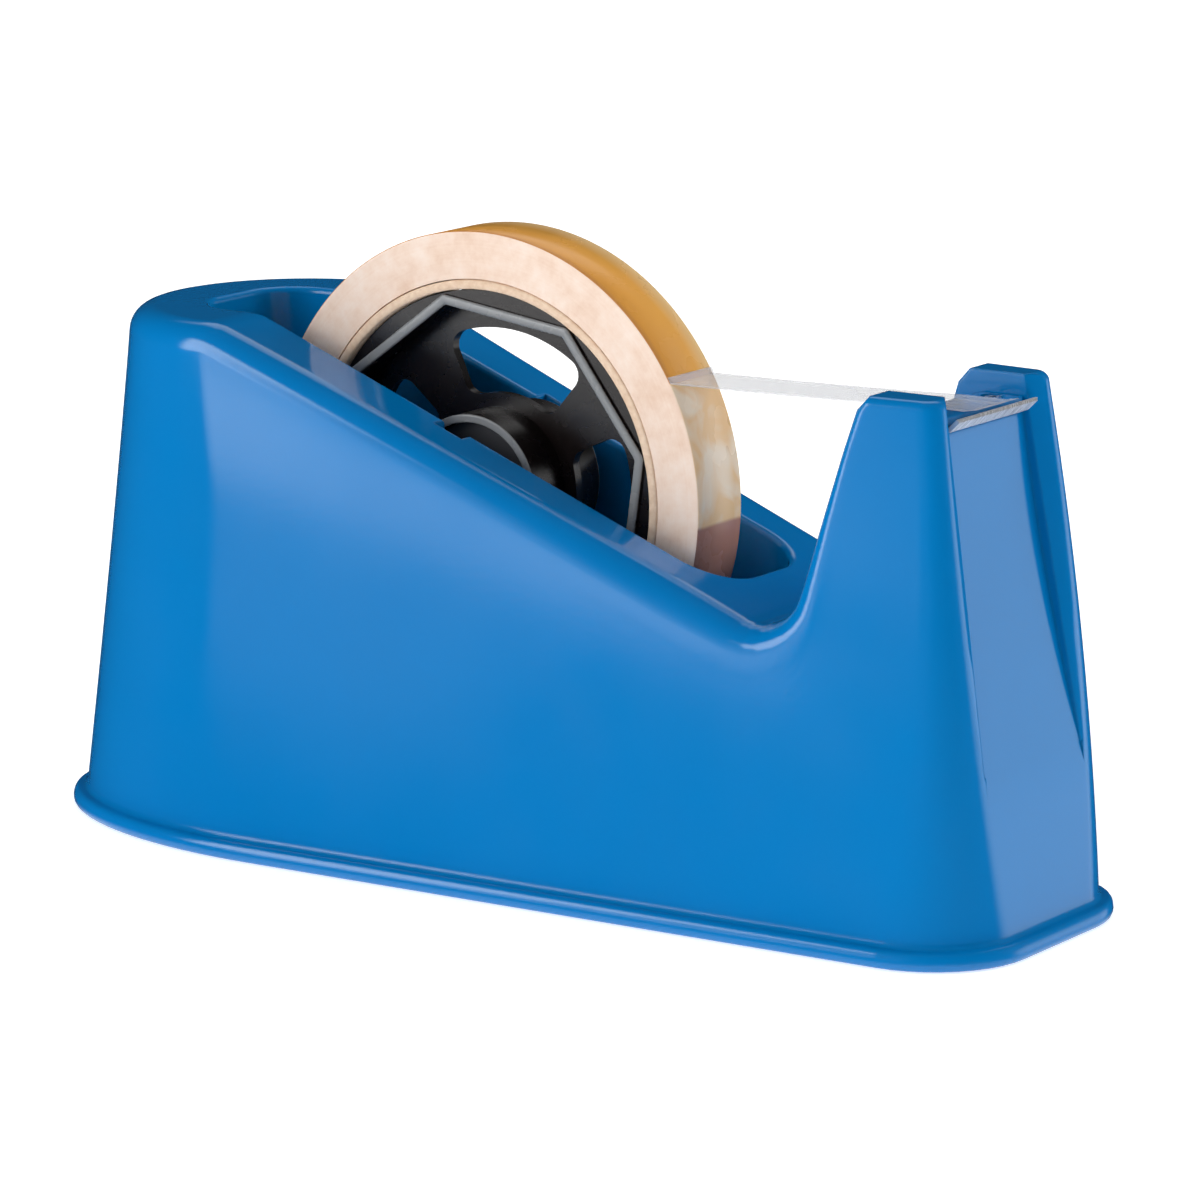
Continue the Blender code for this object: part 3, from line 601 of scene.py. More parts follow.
def panel_curve(shift, steps=20):
    """Side view of the recessed front panel from its top to its foot, as a smooth curve."""
    top, middle, foot = (Vector(p) for p in (PANEL_TOP, PANEL_MIDDLE, PANEL_FOOT))
    points = []
    for k in range(steps + 1):
        t = k / steps
        spot = top * (1 - t) ** 2 + middle * 2 * t * (1 - t) + foot * t ** 2
        points.append((spot.x - shift, spot.y))
    return points


def recess_tool(floor, shift, widen):
    """The channel between the ears and the recess below it, wider at its foot."""
    curve = panel_curve(shift)
    side_view = [(VALLEY[0], floor), (PANEL_TOP[0] - shift, floor), *curve[1:]]
    side_view += [(LONG, PANEL_FOOT[1]), (LONG, LONG), (VALLEY[0], LONG)]
    mesh = upright(flat_mesh("recess", [side_view], LONG))
    for vertex in mesh.vertices:
        drop = (PANEL_TOP[1] - vertex.co.z) / (PANEL_TOP[1] - PANEL_FOOT[1])
        half = CHANNEL_HALF + (PANEL_FOOT_HALF - CHANNEL_HALF) * max(drop, 0.0) + widen
        vertex.co.y = math.copysign(half, vertex.co.y)
    return new_object("recess", mesh)


def ear_bevel_mesh(side):
    """A wedge that slants the ear's inner front edge, deepest at the top of the tower."""
    points = []
    for height, half, width, overlap in EAR_BEVEL:
        front = plan_sizes(height, 0.0)[3]
        inner, outer = half - overlap, half + width + BEVEL_AHEAD / BEVEL_SLANT
        points.append((front - BEVEL_SLANT * (width + overlap), side * inner, height))
        points.append((front + BEVEL_AHEAD, side * inner, height))
        points.append((front + BEVEL_AHEAD, side * outer, height))

    def build(work):
        for point in points:
            work.verts.new(point)
        bmesh.ops.convex_hull(work, input=work.verts)

    return mesh_from("ear_bevel", build)


def cavity():
    """The hollow under the shell: an inner loft less the well, the bosses and the cutter's seat."""
    low_rows = [(BELOW, 0.0), (PLATE_TOP, 0.0)]
    made = lofted(
        "cavity", column_plan(*CAVITY_STEPS), low_rows, CAVITY_ROWS, WALL,
        CAVITY_EAR_RADIUS, CAVITY_CREST_SCALE,
    )
    boolean(made, plain_well(WELL_WALL, WELL_FLOOR - WALL))
    for side in (-1, 1):
        x = (AXLE_X - PILLAR_HALF, AXLE_X + PILLAR_HALF)
        y = sorted(side * reach for reach in PILLAR_Y)
        cut(made, box_mesh("pillar", x, y, (PILLAR_BOTTOM, LONG)))
    for x, y in BOSSES.values():
        for side in (-1, 1):
            boss = cylinder_mesh("boss", BOSS_RADIUS, BOSS_BOTTOM, BOSS_TOP, steps=24)
            cut(made, boss, (x, side * y, 0.0))
    drop, shift, widen = SEAT_GROW
    boolean(made, recess_tool(CHANNEL_FLOOR - drop, shift, widen))
    across = (-REAR_HALF_WIDTH[0], REAR_HALF_WIDTH[0])
    cut(made, box_mesh("crown", (VALLEY[0], LONG), across, (CHANNEL_FLOOR - CROWN_THICK, LONG)))
    return made


def body_shell():
    """The moulded shell with its well, tower, ears and screw bosses."""
    made = lofted(
        "dispenser_body", column_plan(*SKIN_STEPS), rim_rows(), SKIN_ROWS, 0.0, PROFILE_RADII[2], 1.0
    )
    boolean(made, cavity())
    boolean(made, well_with_lip())
    y = (-GROOVE_END, GROOVE_END)
    at = (AXLE_X, 0.0, AXLE_Z)
    cut(made, box_mesh("groove", (-GROOVE_RADIUS, GROOVE_RADIUS), y, (0.0, LONG)), at)
    cut(made, cylinder_mesh("groove_foot", GROOVE_RADIUS, *y, axis="Y"), at)
    boolean(made, recess_tool(CHANNEL_FLOOR, 0.0, 0.0))
    for side in (-1, 1):
        cut(made, ear_bevel_mesh(side))
    for x, y in BOSSES.values():
        for side in (-1, 1):
            pilot = cylinder_mesh("pilot", PILOT_RADIUS, BELOW, PILOT_TOP, steps=16)
            cut(made, pilot, (x, side * y, 0.0))
    for side in (-1, 1):
        hole = cylinder_mesh("hole", BLADE_PILOT[0], BLADE_PILOT[1], LONG, steps=16)
        cut(made, hole, (BLADE_SCREW_X, side * BLADE_SCREW_Y, 0.0))
    smooth(made.data)
    weighted(made)
    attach(made, "body")
    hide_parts("body_shell")
    return made


def weighted(made):
    """Let the large faces rule the shading next to narrow ones."""
    modifier = made.modifiers.new("weighted", "WEIGHTED_NORMAL")
    modifier.keep_sharp = True
    modifier.mode = "FACE_AREA"
    modifier.weight = 50


# ---- materials ----


class Graph:
    """Small helpers for node graphs."""

    def __init__(self, tree):
        self.nodes, self.links = tree.nodes, tree.links

    def number(self, operation, *values):
        """A math node fed with numbers or sockets."""
        node = self.nodes.new("ShaderNodeMath")
        node.operation = operation
        for socket, value in zip(node.inputs, values):
            if isinstance(value, (int, float)):
                socket.default_value = value
            else:
                self.links.new(value, socket)
        return node.outputs["Value"]

    def step(self, value, start, end):
        """Soft step from 0 at one value to 1 at another."""
        node = self.nodes.new("ShaderNodeMapRange")
        node.interpolation_type = "SMOOTHSTEP"
        node.inputs["From Min"].default_value = min(start, end)
        node.inputs["From Max"].default_value = max(start, end)
        node.inputs["To Min"].default_value = 0.0 if start < end else 1.0
        node.inputs["To Max"].default_value = 1.0 if start < end else 0.0
        self.links.new(value, node.inputs["Value"])
        return node.outputs["Result"]

    def product(self, *values):
        """All values multiplied."""
        total = values[0]
        for value in values[1:]:
            total = self.number("MULTIPLY", total, value)
        return total

    def total(self, *values):
        """All values added."""
        total = values[0]
        for value in values[1:]:
            total = self.number("ADD", total, value)
        return total


class Look(Graph):
    """A Principled material with a small node graph in object space."""

    def __init__(self, name, colour, roughness, metallic=0.0):
        self.material = bpy.data.materials.new(name)
        self.material.use_nodes = True
        super().__init__(self.material.node_tree)
        self.shader = self.nodes["Principled BSDF"]
        self.set("Base Color", (*colour, 1.0))
        self.set("Roughness", roughness)
        self.set("Metallic", metallic)
        self.place = self.nodes.new("ShaderNodeTexCoord").outputs["Object"]

    def set(self, socket, value):
        """Set a uniform value on the shader."""
        self.shader.inputs[socket].default_value = value

    def stretched(self, scale):
        """Object coordinates scaled along each axis."""
        node = self.nodes.new("ShaderNodeMapping")
        node.inputs["Scale"].default_value = scale
        self.links.new(self.place, node.inputs["Vector"])
        return node.outputs["Vector"]

    def noise(self, scale, detail=3.0, vector=None, rough=0.5, distortion=0.0):
        """Noise in object space, or over another vector."""
        node = self.nodes.new("ShaderNodeTexNoise")
        node.inputs["Scale"].default_value = scale
        node.inputs["Detail"].default_value = detail
        node.inputs["Roughness"].default_value = rough
        node.inputs["Distortion"].default_value = distortion
        self.links.new(vector or self.place, node.inputs["Vector"])
        return node.outputs["Fac"]

    def ramp(self, value, stops):
        """Map a value to colours at given positions."""
        node = self.nodes.new("ShaderNodeValToRGB")
        for _ in stops[2:]:
            node.color_ramp.elements.new(0.5)
        for element, (position, colour) in zip(node.color_ramp.elements, stops):
            element.position = position
            element.color = (*colour, 1.0)
        self.links.new(value, node.inputs["Fac"])
        return node.outputs["Color"]

    def spread(self, value, low, high):
        """Map a noise value's usual span to a range."""
        node = self.nodes.new("ShaderNodeMapRange")
        node.inputs["From Min"].default_value = 0.3
        node.inputs["From Max"].default_value = 0.7
        node.inputs["To Min"].default_value = low
        node.inputs["To Max"].default_value = high
        self.links.new(value, node.inputs["Value"])
        return node.outputs["Result"]

    def to(self, socket, value):
        """Link a graph's output to the shader."""
        self.links.new(value, self.shader.inputs[socket])

    def bump(self, height, distance):
        """Add relief of a height in metres."""
        node = self.nodes.new("ShaderNodeBump")
        node.inputs["Distance"].default_value = distance
        self.links.new(height, node.inputs["Height"])
        previous = self.shader.inputs["Normal"].links
        if previous:
            self.links.new(previous[0].from_socket, node.inputs["Normal"])
        self.links.new(node.outputs["Normal"], self.shader.inputs["Normal"])

    def soften(self, radius):
        """Round the shading over sharp edges."""
        node = self.nodes.new("ShaderNodeBevel")
        node.samples = 6
        node.inputs["Radius"].default_value = radius
        self.links.new(node.outputs["Normal"], self.shader.inputs["Normal"])

    def mix(self, factor, first, second):
        """Blend from one colour to another."""
        node = self.nodes.new("ShaderNodeMix")
        node.data_type = "RGBA"
        self.links.new(factor, node.inputs["Factor"])
        for socket, colour in zip(node.inputs[6:8], (first, second)):
            if isinstance(colour, tuple):
                socket.default_value = (*colour, 1.0)
            else:
                self.links.new(colour, socket)
        return node.outputs[2]

    def axes(self):
        """Object coordinates taken apart."""
        split = self.nodes.new("ShaderNodeSeparateXYZ")
        self.links.new(self.place, split.inputs["Vector"])
        return split.outputs["X"], split.outputs["Y"], split.outputs["Z"]

    def radius_about_axle(self):
        """Distance from the object's own Y axis."""
        x, _, z = self.axes()
        return self.number("SQRT", self.total(self.product(x, x), self.product(z, z)))

    def angle_about_axle(self):
        """Angle about the object's own Y axis, from +X towards +Z."""
        x, _, z = self.axes()
        return self.number("ARCTAN2", z, x)

    def distance_along_axle(self):
        """Distance from the object's own XZ plane."""
        return self.number("ABSOLUTE", self.axes()[1])


def blue_plastic():
    look = Look("blue_gloss_plastic", (0.0002, 0.188, 0.515), 0.11)
    cloud = look.noise(22.0, 2.0)
    look.to("Base Color", look.ramp(cloud, [(0.3, (0.0001, 0.184, 0.505)), (0.7, (0.0004, 0.192, 0.525))]))
    look.to("Roughness", look.spread(look.noise(60.0, 4.0), 0.09, 0.13))
    look.soften(0.0008)
    look.bump(look.noise(900.0, 2.0), 0.000006)
    look.bump(look.noise(28.0, 1.0), 0.000030)
    look.set("IOR", 1.50)
    return look.material


def black_plastic():
    look = Look("black_gloss_plastic", (0.010, 0.010, 0.012), 0.22)
    look.to("Roughness", look.spread(look.noise(150.0, 4.0), 0.18, 0.30))
    look.bump(look.noise(1200.0, 2.0), 0.000010)
    look.set("IOR", 1.50)
    return look.material


def hub_plastic():
    """Black plastic with a paler grey painted highlight on the standing end faces of the drum and the tube.
    """
    look = Look("hub_black_plastic", (0.009, 0.006, 0.006), 0.24)
    out = look.distance_along_axle()
    # Painted highlight: pale grey on the drum's outer end face and on the tube's end.
    drum = look.product(
        look.step(out, DRUM_HALF - 0.00050, DRUM_HALF - 0.00015),
        look.step(look.radius_about_axle(), *PAINTED_HIGHLIGHT_RADIUS),
    )
    tube = look.step(out, TUBE_HALF - 0.00040, TUBE_HALF - 0.00015)
    painted_highlight = look.number("MAXIMUM", drum, tube)
    look.to("Base Color", look.ramp(painted_highlight, [(0.0, (0.009, 0.006, 0.006)), (1.0, (0.24, 0.25, 0.26))]))
    look.to("Roughness", look.spread(look.noise(150.0, 4.0), 0.20, 0.32))
    look.bump(look.noise(1200.0, 2.0), 0.000010)
    return look.material


def grey_plastic():
    look = Look("grey_bush_plastic", (0.060, 0.060, 0.066), 0.38)
    look.to("Roughness", look.spread(look.noise(300.0, 3.0), 0.32, 0.46))
    look.bump(look.noise(1500.0, 2.0), 0.000015)
    return look.material


def brushed_steel(name, grain, metallic=1.0):
    look = Look(name, (0.62, 0.62, 0.63), 0.22, metallic)
    lines = look.noise(600.0, 4.0, look.stretched(grain))
    look.to("Roughness", look.spread(lines, 0.16, 0.34))
    look.to("Base Color", look.ramp(lines, [(0.2, (0.60, 0.60, 0.62)), (0.8, (0.80, 0.80, 0.83))]))
    look.bump(lines, 0.000008)
    return look.material


def cast_iron():
    look = Look("cast_iron", (0.09, 0.088, 0.085), 0.6, 0.8)
    pits = look.noise(500.0, 6.0, rough=0.65)
    look.to("Base Color", look.ramp(pits, [(0.3, (0.05, 0.047, 0.045)), (0.7, (0.13, 0.125, 0.12))]))
    look.to("Roughness", look.spread(pits, 0.5, 0.8))
    look.bump(pits, 0.000250)
    return look.material


def rubber():
    look = Look("foot_rubber", (0.02, 0.02, 0.02), 0.8)
    look.to("Roughness", look.spread(look.noise(400.0, 4.0), 0.65, 0.9))
    look.bump(look.noise(2500.0, 3.0), 0.000030)
    return look.material


def card():
    look = Look("core_card", (0.84, 0.62, 0.45), 0.85)
    plies = look.noise(900.0, 3.0)
    look.to("Base Color", look.ramp(plies, [(0.3, (0.76, 0.54, 0.38)), (0.7, (0.88, 0.68, 0.51))]))
    look.to("Roughness", look.spread(look.noise(800.0, 4.0), 0.75, 0.95))
    look.bump(look.noise(1800.0, 4.0), 0.000030)
    return look.material


def tape_edges():
    """The wound tape's side: pale, finely mottled, with barely visible turns."""
    look = Look("tape_edges", (0.88, 0.69, 0.56), 0.50)
    turns = look.nodes.new("ShaderNodeTexNoise")
    turns.noise_dimensions = "1D"
    turns.inputs["Scale"].default_value = 2600.0
    turns.inputs["Detail"].default_value = 4.0
    look.links.new(look.radius_about_axle(), turns.inputs["W"])
    mottle = look.total(
        look.product(look.noise(260.0, 4.0, rough=0.6), 0.55),
        look.product(look.noise(60.0, 2.0), 0.35), look.product(turns.outputs["Fac"], 0.10),
    )
    look.to("Base Color", look.ramp(mottle, [
        (0.36, (0.82, 0.59, 0.45)), (0.50, (0.90, 0.70, 0.57)), (0.64, (0.94, 0.78, 0.67))]))
    look.to("Roughness", look.spread(turns.outputs["Fac"], 0.42, 0.60))
    look.bump(turns.outputs["Fac"], 0.000012)
    look.set("Specular IOR Level", 0.25)
    return look.material


# Angles about the axle where the painted brown shade starts and where the painted cream reflection and
# brown shade end
PAINTED_SHADE_START = (-0.050, -0.030)
PAINTED_LIGHT_END = (-0.75, -0.55)


def tape_face():
    """The roll's outside: amber, and below the peeling line a painted reflection in cream and a painted
    shade in brown.
    """
    look = Look("tape_face", (0.80, 0.34, 0.055), 0.25)
    _, y, _ = look.axes()
    across = look.total(y, look.product(look.noise(35.0, 2.0), 0.0020))
    # The amber is darkest at the near edge and palest at the far edge: painted shade and painted highlight.
    amber = look.ramp(look.number("MULTIPLY_ADD", across, 62.0, 0.44), [
        (0.02, (0.60, 0.26, 0.075)), (0.14, (0.80, 0.36, 0.060)), (0.66, (0.88, 0.43, 0.085)),
        (0.96, (0.93, 0.66, 0.34))])
    # Painted reflection: a cream swirl below the peeling line.
    painted_reflection = look.ramp(look.noise(110.0, 2.0, distortion=1.2), [
        (0.36, (0.97, 0.79, 0.59)), (0.64, (0.93, 0.61, 0.32))])
    angle = look.total(look.angle_about_axle(), look.product(look.noise(70.0, 2.0), 0.020))
    # Painted shade in brown low on the roll, where it sinks into the well, with the painted cream
    # reflection above it up to the peeling line.
    patch = look.mix(look.step(angle, *PAINTED_SHADE_START), (0.50, 0.24, 0.17), painted_reflection)
    patch = look.mix(look.step(angle, *PAINTED_LIGHT_END), amber, patch)
    peeled = look.step(angle, PEEL_ANGLE + 0.002, PEEL_ANGLE + 0.016)
    look.to("Base Color", look.mix(peeled, patch, amber))
    look.to("Roughness", look.spread(look.noise(90.0, 3.0), 0.20, 0.32))
    look.bump(look.noise(1.0, 2.0, look.stretched((25.0, 300.0, 25.0))), 0.000020)
    look.set("IOR", 1.40)
    return look.material


def clear_film():
    """A single thickness of tape."""
    look = Look("clear_film", (0.84, 0.86, 0.91), 0.20)
    look.to("Roughness", look.spread(look.noise(1.0, 3.0, look.stretched((40.0, 500.0, 40.0))), 0.15, 0.30))
    look.bump(look.noise(1.0, 2.0, look.stretched((30.0, 300.0, 30.0))), 0.000015)
    look.set("Alpha", 0.36)
    return look.material


BLUE = blue_plastic()
BLACK = black_plastic()
HUB_BLACK = hub_plastic()
GREY = grey_plastic()
BLADE_STEEL = brushed_steel("blade_steel", (0.3, 12.0, 0.3), 0.35)
SCREW_STEEL = brushed_steel("screw_steel", (3.0, 3.0, 3.0))
AXLE_STEEL = brushed_steel("axle_steel", (1.0, 0.1, 1.0))
IRON = cast_iron()
RUBBER = rubber()
CARD = card()
TAPE_EDGES = tape_edges()
TAPE_FACE = tape_face()
FILM = clear_film()


def piece(name, mesh, look, body, node, at=(0.0, 0.0, 0.0)):
    """A detailed piece that stands for a CAD node and rides on its body."""
    made = new_object(name, mesh, at)
    if not mesh.materials:
        mesh.materials.append(look)
    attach(made, body)
    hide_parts(node)
    return made


# ---- spool ----

SPOOL_AT = (AXLE_X, 0.0, AXLE_Z)


def window(centre):
    """Rounded window between two spokes of the hub, as an outline in the hub's plane."""
    corner, steps, arc = WINDOW_CORNER, 6, 16
    points = []
    for radius, outward in ((WINDOW_OUTER, 1), (WINDOW_INNER, -1)):
        ring = radius - outward * corner
        span = WINDOW_HALF_ANGLE - corner / ring
        for end in (-outward, outward):
            angle = centre + end * span
            spot = Vector((ring * math.cos(angle), ring * math.sin(angle)))
            if outward > 0:
                first = angle - math.pi / 2 if end < 0 else angle
            else:
                first = angle + math.pi / 2 if end > 0 else angle + math.pi
            for k in range(steps + 1):
                turned = first + math.pi / 2 * k / steps
                points.append(tuple(spot + corner * Vector((math.cos(turned), math.sin(turned)))))
            if end == -outward:
                for k in range(1, arc):
                    turned = centre - outward * span * (1 - 2 * k / arc)
                    points.append((radius * math.cos(turned), radius * math.sin(turned)))
    return points


def hub_wheel():
    """Eight-sided drum with two round flanges, on a windowed web with a central tube."""
    def octagon(radius, corner):
        return rounded_outline(circle_points(radius, 8, DRUM_TURN), corner)

    drum = upright(flat_mesh(
        "hub", [octagon(DRUM_RADIUS, DRUM_CORNERS[0]), octagon(DRUM_RADIUS - DRUM_WALL, DRUM_CORNERS[1])],
        DRUM_HALF, DRUM_BEVEL,
    ))
    made = new_object("hub_spider", drum, SPOOL_AT)
    windows = [window(angle + math.pi / 4) for angle in SPOKE_ANGLES]
    rim = circle_points(DRUM_RADIUS - DRUM_WALL * WEB_REACH, 8, DRUM_TURN)
    eye = circle_points((TUBE_OUTER + TUBE_INNER) / 2, 96)
    web = upright(flat_mesh("web", [rim, eye, *windows], WEB_HALF, 0.0))
    tube = upright(flat_mesh(
        "tube", [circle_points(TUBE_OUTER, 96), circle_points(TUBE_INNER, 96)], TUBE_HALF, TUBE_BEVEL
    ))
    for mesh in (web, tube):
        boolean(made, new_object("tool", mesh, SPOOL_AT), "UNION")
    for side in (-1, 1):
        flange = upright(flat_mesh("flange", [circle_points(FLANGE_RADIUS, 144), rim], FLANGE_HALF, 0.0))
        boolean(made, new_object("tool", flange, (AXLE_X, side * FLANGE_Y, AXLE_Z)), "UNION")
    smooth(made.data, 30)
    weighted(made)
    made.data.materials.clear()
    made.data.materials.append(HUB_BLACK)
    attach(made, "spool")
    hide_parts("hub_wheel")


def spun(name, profile, steps=192):
    """A ring about the Y axis from a closed profile of radius and width positions."""
    def build(work):
        spots = [work.verts.new((radius, y, 0.0)) for radius, y in profile]
        edges = [work.edges.new(pair) for pair in zip(spots, spots[1:] + spots[:1])]
        bmesh.ops.spin(
            work, geom=spots + edges, cent=(0, 0, 0), axis=(0, 1, 0),
            angle=2 * math.pi, steps=steps, use_merge=True,
        )
        bmesh.ops.remove_doubles(work, verts=work.verts, dist=MERGE)

    return smooth(mesh_from(name, build), 50)


def wound_roll():
    """The roll: turns of tape that stand a little in or out of the side, and a smooth outside."""
    draw = np.random.default_rng(7)
    radii = np.linspace(ROLL_INNER, ROLL_OUTER - OUTER_TURN, ROLL_TURNS)
    sides = []
    for side in (-1, 1):
        steps = np.clip(np.cumsum(draw.normal(0.0, TURN_WANDER, ROLL_TURNS)), *TURN_LIMITS)
        sides.append([(float(r), side * (TAPE_HALF - TURN_DROP + float(s))) for r, s in zip(radii, steps)])
    low, high = sides
    outer = [(ROLL_OUTER, -TAPE_HALF + ROLL_EDGE), (ROLL_OUTER, TAPE_HALF - ROLL_EDGE)]
    mesh = spun("tape_winding", low + outer + high[::-1])
    mesh.materials.append(TAPE_EDGES)
    mesh.materials.append(TAPE_FACE)
    for face in mesh.polygons:
        flat = math.hypot(face.center.x, face.center.z)
        if flat > ROLL_OUTER - 0.8 * OUTER_TURN and abs(face.normal.y) < 0.9:
            face.material_index = 1
    piece("tape_winding", mesh, TAPE_EDGES, "spool", "tape_roll", SPOOL_AT)


def card_core():
    """The cardboard core with slightly crushed edges."""
    edge = CORE_EDGE
    profile = [
        (CORE_INNER + edge, -TAPE_HALF), (CORE_OUTER - edge, -TAPE_HALF),
        (CORE_OUTER, -TAPE_HALF + edge), (CORE_OUTER, TAPE_HALF - edge),
        (CORE_OUTER - edge, TAPE_HALF), (CORE_INNER + edge, TAPE_HALF),
        (CORE_INNER, TAPE_HALF - edge), (CORE_INNER, -TAPE_HALF + edge),
    ]
    piece("card_core", spun("card_core", profile), CARD, "spool", "tape_core", SPOOL_AT)


def free_tape():
    """Free length of tape, which peels off the roll and runs over the clamp to the teeth."""
    reach = ROLL_OUTER + LEAD_LIFT
    path = []
    for k in range(3):
        angle = PEEL_ANGLE + LEAD_OVERLAP * (1 - k / 2)
        path.append(Vector((AXLE_X + reach * math.cos(angle), AXLE_Z + reach * math.sin(angle))))
    pad = Vector((CLAMP_X[0], CLAMP_Z[1] + PAD_GAP[0] + FILM_CLEAR))
    start = path[-1]
    for k in range(1, LEAD_STEPS + 1):
        t = k / LEAD_STEPS
        spot = start.lerp(pad, t)
        path.append(Vector((spot.x, spot.y - LEAD_SAG * 4 * t * (1 - t))))
    path.append(Vector((CLAMP_X[1], CLAMP_Z[1] + PAD_GAP[1])))
    path.append(Vector(LEAD_END) - Vector(LEAD_BACK))

    def build(work):
        across = 8
        rows = []
        for spot in path:
            row = []
            for k in range(across + 1):
                y = TAPE_HALF * (2 * k / across - 1)
                row.append(work.verts.new((spot.x, y, spot.y)))
            rows.append(row)
        for left, right in zip(rows, rows[1:]):
            for k in range(across):
                work.faces.new((left[k], right[k], right[k + 1], left[k + 1]))

    mesh = smooth(mesh_from("free_tape", build), 60)
    made = piece("free_tape", mesh, FILM, "axle_carrier", "tape_lead")
    modifier = made.modifiers.new("film", "SOLIDIFY")
    modifier.thickness = FILM_THICK
    modifier.offset = 0.0


# ---- cutter ----


def blade():
    """Cutter blade: a flange under the pad and a toothed lip bent up at the front."""
    teeth, steps = TOOTH_COUNT * 2, 6
    bend = BEND_RADIUS
    profile = [(BLADE_REAR, BLADE_Z), (BLADE_BEND - bend, BLADE_Z)]
    centre = Vector((BLADE_BEND - bend, BLADE_Z + bend + BLADE_THICK))
    for k in range(1, steps + 1):
        angle = LIP_ANGLE * k / steps
        away = Vector((math.sin(angle), -math.cos(angle))) * (bend + BLADE_THICK)
        profile.append(tuple(centre + away))
    along = Vector((math.cos(LIP_ANGLE), math.sin(LIP_ANGLE)))
    up = Vector((-along.y, along.x))
    root = Vector(profile[-1])
    tip = root + along * (LIP_LENGTH - TOOTH_DEPTH - TOOTH_BACK)
    profile.append(tuple(tip))

    def build(work):
        rows = []
        pitch = 2 * BLADE_HALF / teeth
        for j in range(2 * teeth + 1):
            y = -BLADE_HALF + pitch * j / 2
            reach = TOOTH_DEPTH * (j % 2)
            low = [Vector(p) for p in profile] + [tip + along * reach + up * BLADE_THICK * TOOTH_EDGE]
            high = [p + Vector((0.0, BLADE_THICK)) for p in low[:2]]
            for k, p in enumerate(low[2:-2], start=1):
                angle = LIP_ANGLE * k / steps
                high.append(p + Vector((-math.sin(angle), math.cos(angle))) * BLADE_THICK)
            high.append(low[-2] + up * BLADE_THICK)
            ring = low + high[::-1]
            rows.append([work.verts.new((p.x, y, p.y)) for p in ring])
        for left, right in zip(rows, rows[1:]):
            for k in range(len(left)):
                after = (k + 1) % len(left)
                work.faces.new((left[k], right[k], right[after], left[after]))
        work.faces.new(rows[0])
        work.faces.new(rows[-1])

    mesh = smooth(mesh_from("toothed_blade", build), 25)
    piece("toothed_blade", mesh, BLADE_STEEL, "body", "blade")


def clamp_pad():
    """The pad that clamps the blade, with rounded edges and two sunk screw seats."""
    middle = (CLAMP_X[0] + CLAMP_X[1]) / 2
    half = (CLAMP_X[1] - CLAMP_X[0]) / 2
    corners = [(-half, -BLADE_HALF), (half, -BLADE_HALF), (half, BLADE_HALF), (-half, BLADE_HALF)]
    depth = (CLAMP_Z[1] - CLAMP_Z[0]) / 2
    pad = flat_mesh("pad", [rounded_outline(corners, CLAMP_CORNER)], depth, CLAMP_BEVEL)
    made = new_object("clamp_pad", pad, (middle, 0.0, CLAMP_Z[0] + depth))
    for side in (-1, 1):
        at = (BLADE_SCREW_X, side * BLADE_SCREW_Y, 0.0)
        cut(made, cylinder_mesh("hole", BLADE_HOLE, 0.0, LONG), at)
        cut(made, cylinder_mesh("seat", *CLAMP_HEAD, LONG), at)
    smooth(made.data, 30)
    made.data.materials.clear()
    made.data.materials.append(BLUE)
    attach(made, "body")
    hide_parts("blade_clamp")


shell = body_shell()
shell.data.materials.clear()
shell.data.materials.append(BLUE)
hub_wheel()
wound_roll()
card_core()
free_tape()
blade()
clamp_pad()

CAD_LOOKS = {
    "base_plate": BLACK, "hub_bush_near": GREY, "hub_bush_far": GREY, "axle": AXLE_STEEL,
    "blade_screw_near": SCREW_STEEL, "blade_screw_far": SCREW_STEEL,
}
for node_name in frame["nodes"]:
    if node_name.startswith("ballast"):
        CAD_LOOKS[node_name] = IRON
    elif node_name.startswith("foot"):
        CAD_LOOKS[node_name] = RUBBER
    elif node_name.startswith("base_screw"):
        CAD_LOOKS[node_name] = SCREW_STEEL
for node_name, look in CAD_LOOKS.items():
    for place in frame["nodes"][node_name].material_slots:
        place.material = look


# ---- stage ----


class Stage(Graph):
    """Node graphs that light the stage."""

    def choose(self, factor, first, second):
        """The first shader where the factor is 0 and the second where it is 1."""
        node = self.nodes.new("ShaderNodeMixShader")
        self.links.new(factor, node.inputs["Fac"])
        self.links.new(first, node.inputs[1])
        self.links.new(second, node.inputs[2])
        return node.outputs["Shader"]


